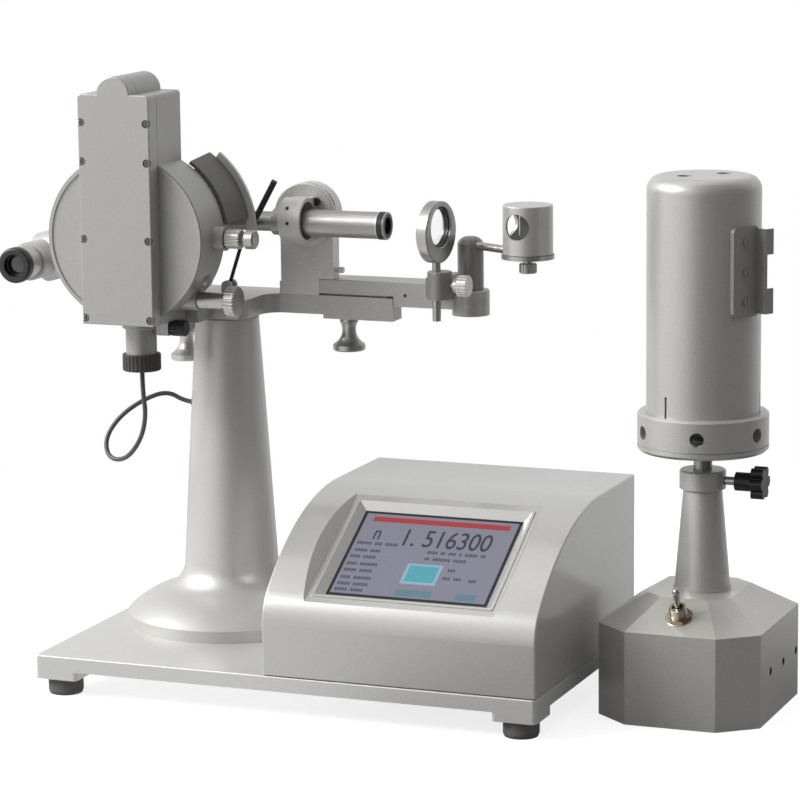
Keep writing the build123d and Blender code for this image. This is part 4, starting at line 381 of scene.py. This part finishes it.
FINISHES = {
    LIGHT_PAINT: ["column"],
    PLATE_PAINT: ["base_plate"],
    FLANGE_PAINT: ["hood_flange"],
    PRISM_GLASS: ["v_prism"],
    CONSOLE_PAINT: ["console_shell", "screen_bezel"],
    DRUM_PAINT: ["drum_housing", "encoder_cover", "cable_connector"],
    LAMP_PAINT: ["lamp_post", "lamp_ring", "lamp_shell", "mirror_housing"],
    LAMP_BASE_PAINT_LIT: ["lamp_base"],
    CAST_GREY: ["cross_arm", "rail_bar", "mirror_bracket"],
    CAST_DARK: ["lens_carrier", "mirror_post"],
    TELESCOPE_PAINT: ["telescope_arm", "telescope_tube", "telescope_elbow"],
    BRACKET_PAINT: ["lamp_bracket"],
    CAST_LIT: ["collimator_head", "collimator_post", "prism_seat"],
    HOOD_DARK: ["prism_hood"],
    SATIN: [
        "slow_motion_knob", "telescope_clamp_knob", "mirror_thumb_screw", "lens_ring",
        "mirror_rod", "arm_clamp_knob",
    ],
    SATIN_PALE: ["rear_clamp_knob", "eyepiece_tube", "stem_clamp_screw"],
    SATIN_TUBE: ["collimator_tube"],
    BRIGHT: ["toggle_lever"],
    STEEL: ["main_shaft", "shaft_bearings", "lamp_stem"],
    SCREW_STEEL: ["cover_screws"],
    WARM_NICKEL: ["toggle_bush"],
    BLACK: ["star_knob", "slit_cap", "fine_knob", "hand_lever", "eyecup"],
    DARK_GREY: ["connector_nut", "reading_head"],
    RUBBER: ["rubber_feet", "cable_grommet"],
    CABLE_SKIN: ["signal_cable"],
    GLASS: [
        "condenser_lens", "telescope_lens", "collimator_lens", "encoder_disc", "spectral_lamp",
    ],
    MIRROR: ["lamp_mirror"],
}


def dress(piece, material):
    piece.data.materials.clear()
    piece.data.materials.append(material)


for material, names in FINISHES.items():
    for name in names:
        dress(NODES[name], material)
dress(cable, CABLE_SKIN)


def add_piece(name, mesh, material, body):
    piece = link_object(name, mesh)
    dress(piece, material)
    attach(piece, body)


# Turned pieces: screws, rings and collars too small to be nodes of their own
WELD_DISTANCE = 1e-7  # metres
SHARP_FROM = math.radians(32)


def turned(name, origin, axis, profile, material, body, steps=48):
    # profile holds (radius, height). It starts and ends on the axis, or closes on itself.
    mesh = bpy.data.meshes.new(name)
    made = bmesh.new()
    turn = Vector(axis).to_track_quat("Z", "Y").to_matrix()
    rings = []
    for step in range(steps):
        angle = 2 * math.pi * step / steps
        ring = []
        for radius, height in profile:
            local = Vector((radius * math.cos(angle), radius * math.sin(angle), height)) / 1000
            ring.append(made.verts.new(at(*origin) + turn @ local))
        rings.append(ring)
    for here, there in zip(rings, rings[1:] + rings[:1]):
        for low in range(len(profile) - 1):
            corners = [here[low], there[low], there[low + 1], here[low + 1]]
            if profile[low][0] == 0:
                corners.pop(1)
            elif profile[low + 1][0] == 0:
                corners.pop(2)
            made.faces.new(corners)
    bmesh.ops.remove_doubles(made, verts=made.verts, dist=WELD_DISTANCE)
    bmesh.ops.recalc_face_normals(made, faces=made.faces)
    for face in made.faces:
        face.smooth = True
    made.to_mesh(mesh)
    made.free()
    mesh.set_sharp_from_angle(angle=SHARP_FROM)
    add_piece(name, mesh, material, body)


SET_SCREW_R = 1.3
SET_SCREW_STAND = 0.7


def set_screw(name, origin, axis):
    # A grub screw with a bevelled rim, and a black plug in the six-sided socket of its end, which
    # paints the shade inside the socket
    radius, top = SET_SCREW_R, SET_SCREW_STAND
    turned(
        name, origin, axis,
        [(0, -0.3), (radius, -0.3), (radius, top - 0.25), (radius - 0.25, top),
         (radius * 0.55, top), (radius * 0.5, top - 0.5), (0, top - 0.5)],
        DARK_STEEL, "collimator",
    )
    # Black hexagon filling the socket: painted shade in the recess
    turned(
        name + "_socket", origin, axis,
        [(0, top - 0.45), (radius * 0.5, top - 0.45), (radius * 0.5, top + 0.02), (0, top + 0.02)],
        BLACK, "collimator", steps=6,
    )


# Screws of the collimator's sleeve and flange
set_screw("sleeve_screw_top", (-46.5, 13.6, 349.9), (0, -0.79, 0.62))
set_screw("sleeve_screw_front", (-45.2, 10.0, 339.0), FRONT)
turned(
    "flange_clamp_screw", (-34.8, 42.4, 352.0), FRONT,
    [(0, -0.4), (3.0, -0.4), (3.0, 2.6), (2.6, 3.0), (1.6, 3.0), (1.5, 1.6), (0, 1.6)],
    DARK_STEEL, "collimator",
)

# A pale rim on the slit cap's end, and a ring where the cap meets the tube
OPTIC_Y, OPTIC_Z = 27.0, 337.9
turned(
    "slit_rim", (27.4, OPTIC_Y, OPTIC_Z), RIGHT,
    [(9.2, 0), (10.46, 0), (10.46, 0.5), (10.1, 0.92), (9.2, 0.92), (9.2, 0)],
    SATIN, "collimator",
)
turned(
    "tube_end_ring", (21.6, OPTIC_Y, OPTIC_Z), RIGHT,
    [(9.6, 0), (10.25, 0), (10.35, 0.3), (10.35, 0.9), (10.25, 1.2), (9.6, 1.2), (9.6, 0)],
    SATIN_PALE, "collimator",
)

# A retaining ring on each side of the condenser, in the lens ring's own direction
LENS_X, LENS_Z = 66.2, 338.7
LENS_TURN = math.radians(-8)
RETAINER_OUT = 1.4
for name, side in (("lens_retainer_right", 1), ("lens_retainer_left", -1)):
    away = Vector((math.cos(LENS_TURN), math.sin(LENS_TURN), 0)) * side
    turned(
        name, (LENS_X + away.x * RETAINER_OUT, OPTIC_Y + away.y * RETAINER_OUT, LENS_Z), away,
        [(13.6, 0), (14.98, 0), (14.98, 1.2), (14.4, 1.5), (13.6, 1.2), (13.6, 0)],
        DARK_STEEL, "lens",
    )

# Socket screw where the mirror's bracket meets the arm
turned(
    "bracket_screw", (33.0, 48.0, 283.2), FRONT,
    [(0, -0.3), (1.4, -0.3), (1.4, 0.04), (1.3, 0.1), (0.8, 0.1), (0.7, 0.02), (0, 0.02)],
    DARK_STEEL, "stand",
)

# Toggle switch: washer, and the threads above its nut
TOGGLE_OUT = Vector((0, -0.476654, 0.879091))
TOGGLE_FOOT = Vector((273.0, -38.98, 77.0))
THREAD_START, THREAD_PITCH = 3.2, 1.15
turned(
    "toggle_washer", TOGGLE_FOOT, TOGGLE_OUT,
    [(6.2, -0.1), (10.0, -0.1), (10.0, 0.5), (9.7, 0.7), (6.2, 0.7), (6.2, -0.1)],
    WARM_NICKEL, "lamp_stand",
)
for index in range(5):
    turned(
        f"toggle_thread_{index}",
        TOGGLE_FOOT + TOGGLE_OUT * (THREAD_START + index * THREAD_PITCH), TOGGLE_OUT,
        [(5.7, 0), (6.02, 0), (6.28, 0.3), (6.02, 0.6), (5.7, 0.6), (5.7, 0)],
        WARM_NICKEL, "lamp_stand",
    )

# Bare steel stud between the lamp post's collar and the star knob's hub
turned(
    "star_knob_stud", (290.6, 16.0, 166.0), RIGHT,
    [(2.8, 0), (3.06, 0), (3.06, 7.5), (2.8, 7.5), (2.8, 0)],
    SATIN_PALE, "star_clamp",
)

# Black inserts in the three holes of the lamp base's right side: painted shade that keeps the holes
# dark
LAMP_SIDE_X = 331.5
for name, y, z in (
    ("side_hole_shade_front", -8.0, 35.0),
    ("side_hole_shade_middle", 26.0, 34.0),
    ("side_hole_shade_rear", 60.0, 34.0),
):
    turned(
        name, (LAMP_SIDE_X, y, z), RIGHT,
        [(0, -3.4), (3.1, -3.4), (3.1, -0.3), (2.5, -0.3), (1.6, -1.2), (1.5, -2.8), (0, -2.8)],
        BLACK, "lamp_stand",
    )

# The elbow's branch stands at the end of the telescope, which turns about the drum's axis
DRUM_X, DRUM_Z = -143.0, 332.7
ELBOW_REACH = 112.0
TELESCOPE_TILT = math.radians(14.6)
ELBOW_X = DRUM_X - ELBOW_REACH * math.cos(TELESCOPE_TILT)
ELBOW_Z = DRUM_Z - ELBOW_REACH * math.sin(TELESCOPE_TILT)
FOCUS_RING_Y, EYE_LENS_Y = -23.4, -26.4
turned(
    "eyepiece_focus_ring", (ELBOW_X, FOCUS_RING_Y, ELBOW_Z), FRONT,
    [(12.2, 0), (13.1, 0), (13.3, 0.3), (13.3, 1.4), (13.1, 1.7), (12.2, 1.7), (12.2, 0)],
    SATIN, "eyepiece",
)

# Eye lens: a shallow dome of opaque, nearly black gloss, painted shade for the dark inside of the
# eyepiece behind the glass, and the blackened ring that holds it
turned(
    "eye_lens", (ELBOW_X, EYE_LENS_Y, ELBOW_Z), FRONT,
    [(0, 0), (7.6, 0), (7.4, 0.35), (6.0, 0.7), (4.0, 1.0), (2.0, 1.15), (0, 1.2)],
    EYE_LENS_SHADE, "eyepiece",
)
turned(
    "eye_lens_ring", (ELBOW_X, EYE_LENS_Y, ELBOW_Z), FRONT,
    [(7.3, 0), (9.85, 0), (9.85, 0.9), (9.3, 1.3), (8.0, 1.3), (7.3, 0.6), (7.3, 0)],
    BLACK, "eyepiece",
)


# Display: a lit panel whose picture is laid on it in thin sheets
def lit(name, rgb, share=0.62):
    # A display colour with the faint dot pattern of a liquid-crystal panel.
    # share of the tone is its own light, and the rest comes from the room.
    s = Shader(name)
    dots = s.remap(s.noise(2000.0, 1.0), 0.0, 1.0, 0.35, 0.65)
    glow = dimmed(linear(rgb), share)
    body = dimmed(linear(rgb), 1 - share)
    s.give("Base Color", s.mix(dots, body, dimmed(body, 0.9)))
    s.give("Emission Color", s.mix(dots, glow, dimmed(glow, 0.94)))
    s.give("Emission Strength", 1.0)
    s.give("Roughness", 0.35)
    s.give("Specular IOR Level", 0.2)
    return s.material


# The lit area lies on the console's slope. Its corner is found from the slope's foot.
SLOPE_TILT = math.radians(29.5)
SLOPE_UP = Vector((0, math.cos(SLOPE_TILT), math.sin(SLOPE_TILT)))
SLOPE_OUT = Vector((0, -math.sin(SLOPE_TILT), math.cos(SLOPE_TILT)))
SLOPE_FOOT = (31.9, -108.0, 91.8)
LIT_W, LIT_L = 117.5, 86.0
LIT_UP, LIT_DEEP = 5.1, 4.2
LIT_CORNER = at(*SLOPE_FOOT) + SLOPE_UP * mm(LIT_UP) - SLOPE_OUT * mm(LIT_DEEP)

# How far each layer of the picture stands off the panel
GROUND_LIFT, FIELD_LIFT, INNER_LIFT, NUMBER_LIFT = 0.06, 0.1, 0.14, 0.16


def on_screen(u, v, lift):
    # u to the right and v up from the lit area's lower left corner, as shares of it
    return (
        LIT_CORNER
        + Vector((mm(u * LIT_W), 0, 0))
        + SLOPE_UP * mm(v * LIT_L)
        + SLOPE_OUT * mm(lift)
    )


def screen_sheet(name, boxes, lift, material):
    mesh = bpy.data.meshes.new(name)
    made = bmesh.new()
    for u0, v0, u1, v1 in boxes:
        corners = [on_screen(u, v, lift) for u, v in ((u0, v0), (u1, v0), (u1, v1), (u0, v1))]
        made.faces.new([made.verts.new(corner) for corner in corners])
    made.to_mesh(mesh)
    made.free()
    add_piece(name, mesh, material, "stand")


dress(NODES["display_panel"], lit("panel_glass", (44, 44, 48), 0.1))
screen_sheet(
    "screen_ground", [(0.0, 0.0, 1.0, 1.0)], GROUND_LIFT, lit("screen_ground", (130, 129, 143))
)
screen_sheet(
    "screen_title_bar", [(0.055, 0.905, 0.955, 0.965)], FIELD_LIFT, lit("screen_red", (164, 62, 66))
)
screen_sheet(
    "screen_field", [(0.41, 0.17, 0.64, 0.42)], FIELD_LIFT, lit("screen_cyan_edge", (138, 172, 190))
)
screen_sheet(
    "screen_field_inner", [(0.43, 0.2, 0.62, 0.395)], INNER_LIFT, lit("screen_cyan", (84, 160, 172))
)
screen_sheet(
    "screen_keys", [(0.41, 0.02, 0.645, 0.1), (0.8, 0.02, 0.93, 0.1)], FIELD_LIFT,
    lit("screen_teal", (96, 128, 140)),
)

# Small print as rows of dashes: where each row starts, and the letters of its words
PRINT_ROWS = [
    (0.02, 0.61, (6, 3, 5)),
    (0.03, 0.52, (5, 4)),
    (0.02, 0.44, (4, 5)),
    (0.02, 0.35, (4, 7)),
    (0.02, 0.27, (5, 5)),
    (0.02, 0.18, (4, 7)),
    (0.02, 0.1, (5, 6)),
    (0.02, 0.03, (5, 5)),
    (0.5, 0.55, (4, 2, 3, 1, 5, 2)),
    (0.5, 0.47, (2, 7, 5)),
    (0.68, 0.35, (3,)),
    (0.67, 0.25, (3, 3)),
    (0.84, 0.24, (3,)),
]
DASH_W, DASH_H = 0.012, 0.036
DASH_STEP, WORD_GAP = 0.0165, 0.02


def print_dashes():
    dashes = []
    for u, v, words in PRINT_ROWS:
        for letters in words:
            for _ in range(letters):
                dashes.append((u, v, u + DASH_W, v + DASH_H))
                u += DASH_STEP
            u += WORD_GAP
    return dashes


screen_sheet(
    "screen_small_print", print_dashes(), FIELD_LIFT, lit("screen_small_ink", (76, 74, 92), 0.4)
)
INK = lit("screen_ink", (62, 62, 74), 0.2)
INK_SPREAD = 0.18


def screen_number(name, words, u, v, height, width_scale):
    # Plain figures, turned into a flat mesh that lies on the panel
    text = bpy.data.curves.new(name + "_outline", "FONT")
    text.body = words
    text.size = mm(height)
    text.offset = mm(INK_SPREAD)
    outline = link_object(name + "_outline", text)
    bpy.context.view_layer.update()
    graph = bpy.context.evaluated_depsgraph_get()
    mesh = bpy.data.meshes.new_from_object(outline.evaluated_get(graph))
    bpy.data.objects.remove(outline)
    turn = Matrix((Vector((1, 0, 0)), SLOPE_UP, SLOPE_OUT)).transposed().to_4x4()
    narrow = Matrix.Diagonal((width_scale, 1, 1, 1))
    mesh.transform(Matrix.Translation(on_screen(u, v, NUMBER_LIFT)) @ turn @ narrow)
    mesh.name = name
    add_piece(name, mesh, INK, "stand")


screen_number("screen_reading", "1. 516300", 0.285, 0.63, 25.5, 0.69)
screen_number("screen_sign", "n", 0.1, 0.68, 21.0, 0.6)


# Stage: a pale floor that fades to white away from the object, and a white surround
ROOM_DULL, ROOM_BRIGHT = 0.16, 0.85
GLOSS_DULL, GLOSS_SCREEN, GLOSS_WALL = 0.14, 1.05, 0.75
FLOOR_HALF = 20.0  # metres
FLOOR_TONE = (0.38, 0.38, 0.376, 1.0)
FLOOR_NEAR_GLOW = 0.8
FLOOR_BOUNCE = 0.3
FADE_START, FADE_END = 0.35, 0.9  # metres from the middle of the row


def white_share(graph):
    # What the camera sees directly or through glass is white
    path = graph.add("ShaderNodeLightPath")
    return graph.larger(path.outputs["Is Camera Ray"], path.outputs["Is Transmission Ray"])


def glossy(graph):
    return graph.add("ShaderNodeLightPath").outputs["Is Glossy Ray"]


def brightness(graph, direction, axis, start, end, low, high):
    # A smooth change of brightness with the direction looked in
    toward = graph.add("ShaderNodeVectorMath", operation="DOT_PRODUCT")
    toward.inputs[1].default_value = Vector(axis).normalized()
    graph.link(direction, toward.inputs[0])
    return graph.remap(toward.outputs["Value"], low, high, start, end)


def room_seen_in_gloss(graph, direction):
    # Reflections: a bright screen at the left front, a pale wall behind, dull elsewhere
    left = brightness(graph, direction, (-0.87, -0.45, 0.2), 0.15, 0.8, GLOSS_DULL, GLOSS_SCREEN)
    behind = brightness(graph, direction, (-0.1, 0.9, 0.3), 0.1, 0.95, GLOSS_DULL, GLOSS_WALL)
    return graph.larger(left, behind)


def floor_material():
    material = bpy.data.materials.new("floor_white")
    material.use_nodes = True
    graph = Graph(material.node_tree)
    place = graph.add("ShaderNodeTexCoord").outputs["Object"]
    # Seen by the camera: matt with a glow near the object, white farther away
    matt = graph.tree.nodes["Principled BSDF"]
    matt.inputs["Base Color"].default_value = FLOOR_TONE
    matt.inputs["Roughness"].default_value = 0.9
    matt.inputs["Specular IOR Level"].default_value = 0.1
    near = graph.add("ShaderNodeAddShader")
    graph.link(matt.outputs[0], near.inputs[0])
    graph.link(graph.emission(FLOOR_NEAR_GLOW), near.inputs[1])
    distance = graph.add("ShaderNodeVectorMath", operation="LENGTH")
    graph.link(place, distance.inputs[0])
    fade = graph.remap(distance.outputs["Value"], 0.0, 1.0, FADE_START, FADE_END)
    seen = graph.mix_shaders(fade, near.outputs[0], graph.emission(1.0))
    # Seen by the object: a dull bounce, and the room in reflections
    bounce = graph.add("ShaderNodeBsdfDiffuse")
    bounce.inputs["Color"].default_value = (FLOOR_BOUNCE, FLOOR_BOUNCE, FLOOR_BOUNCE, 1)
    outward = graph.add("ShaderNodeVectorMath", operation="NORMALIZE")
    graph.link(place, outward.inputs[0])
    mirrored = graph.emission(room_seen_in_gloss(graph, outward.outputs["Vector"]))
    unseen = graph.mix_shaders(glossy(graph), bounce.outputs[0], mirrored)
    graph.surface(graph.mix_shaders(white_share(graph), unseen, seen))
    return material


floor_mesh = bpy.data.meshes.new("floor")
floor_mesh.from_pydata(
    [
        (-FLOOR_HALF, -FLOOR_HALF, 0),
        (FLOOR_HALF, -FLOOR_HALF, 0),
        (FLOOR_HALF, FLOOR_HALF, 0),
        (-FLOOR_HALF, FLOOR_HALF, 0),
    ],
    [],
    [(0, 1, 2, 3)],
)
floor = link_object("floor", floor_mesh)
dress(floor, floor_material())

# The room seen by the object is bright above and behind, and dull on the camera's side
world = bpy.data.worlds.new("studio")
bpy.context.scene.world = world
world.use_nodes = True
sky = Graph(world.node_tree)
backdrop = sky.tree.nodes["Background"]
backdrop.inputs["Color"].default_value = (1, 1, 1, 1)
heading = sky.add("ShaderNodeTexCoord").outputs["Generated"]
room = sky.mix_values(
    glossy(sky),
    brightness(sky, heading, (-0.05, 0.65, 0.75), -0.7, 0.9, ROOM_DULL, ROOM_BRIGHT),
    room_seen_in_gloss(sky, heading),
)
sky.link(sky.mix_values(white_share(sky), room, 1.0), backdrop.inputs["Strength"])


def softbox(name, place, target, width, height, power):
    # Places and sizes in metres, power in watts
    lamp = bpy.data.lights.new(name, "AREA")
    lamp.shape = "RECTANGLE"
    lamp.size = width
    lamp.size_y = height
    lamp.energy = power
    light = link_object(name, lamp)
    light.location = place
    aim = Vector(target) - Vector(place)
    light.rotation_euler = aim.to_track_quat("-Z", "Y").to_euler()


softbox("key", (-2.35, -1.3, 2.0), (0, 0, 0.25), 2.2, 1.3, 128)
softbox("top", (-0.3, 0.2, 2.5), (0, 0, 0.2), 1.4, 1.4, 4)
bpy.context.scene.view_settings.view_transform = "Standard"

bpy.context.view_layer.update()
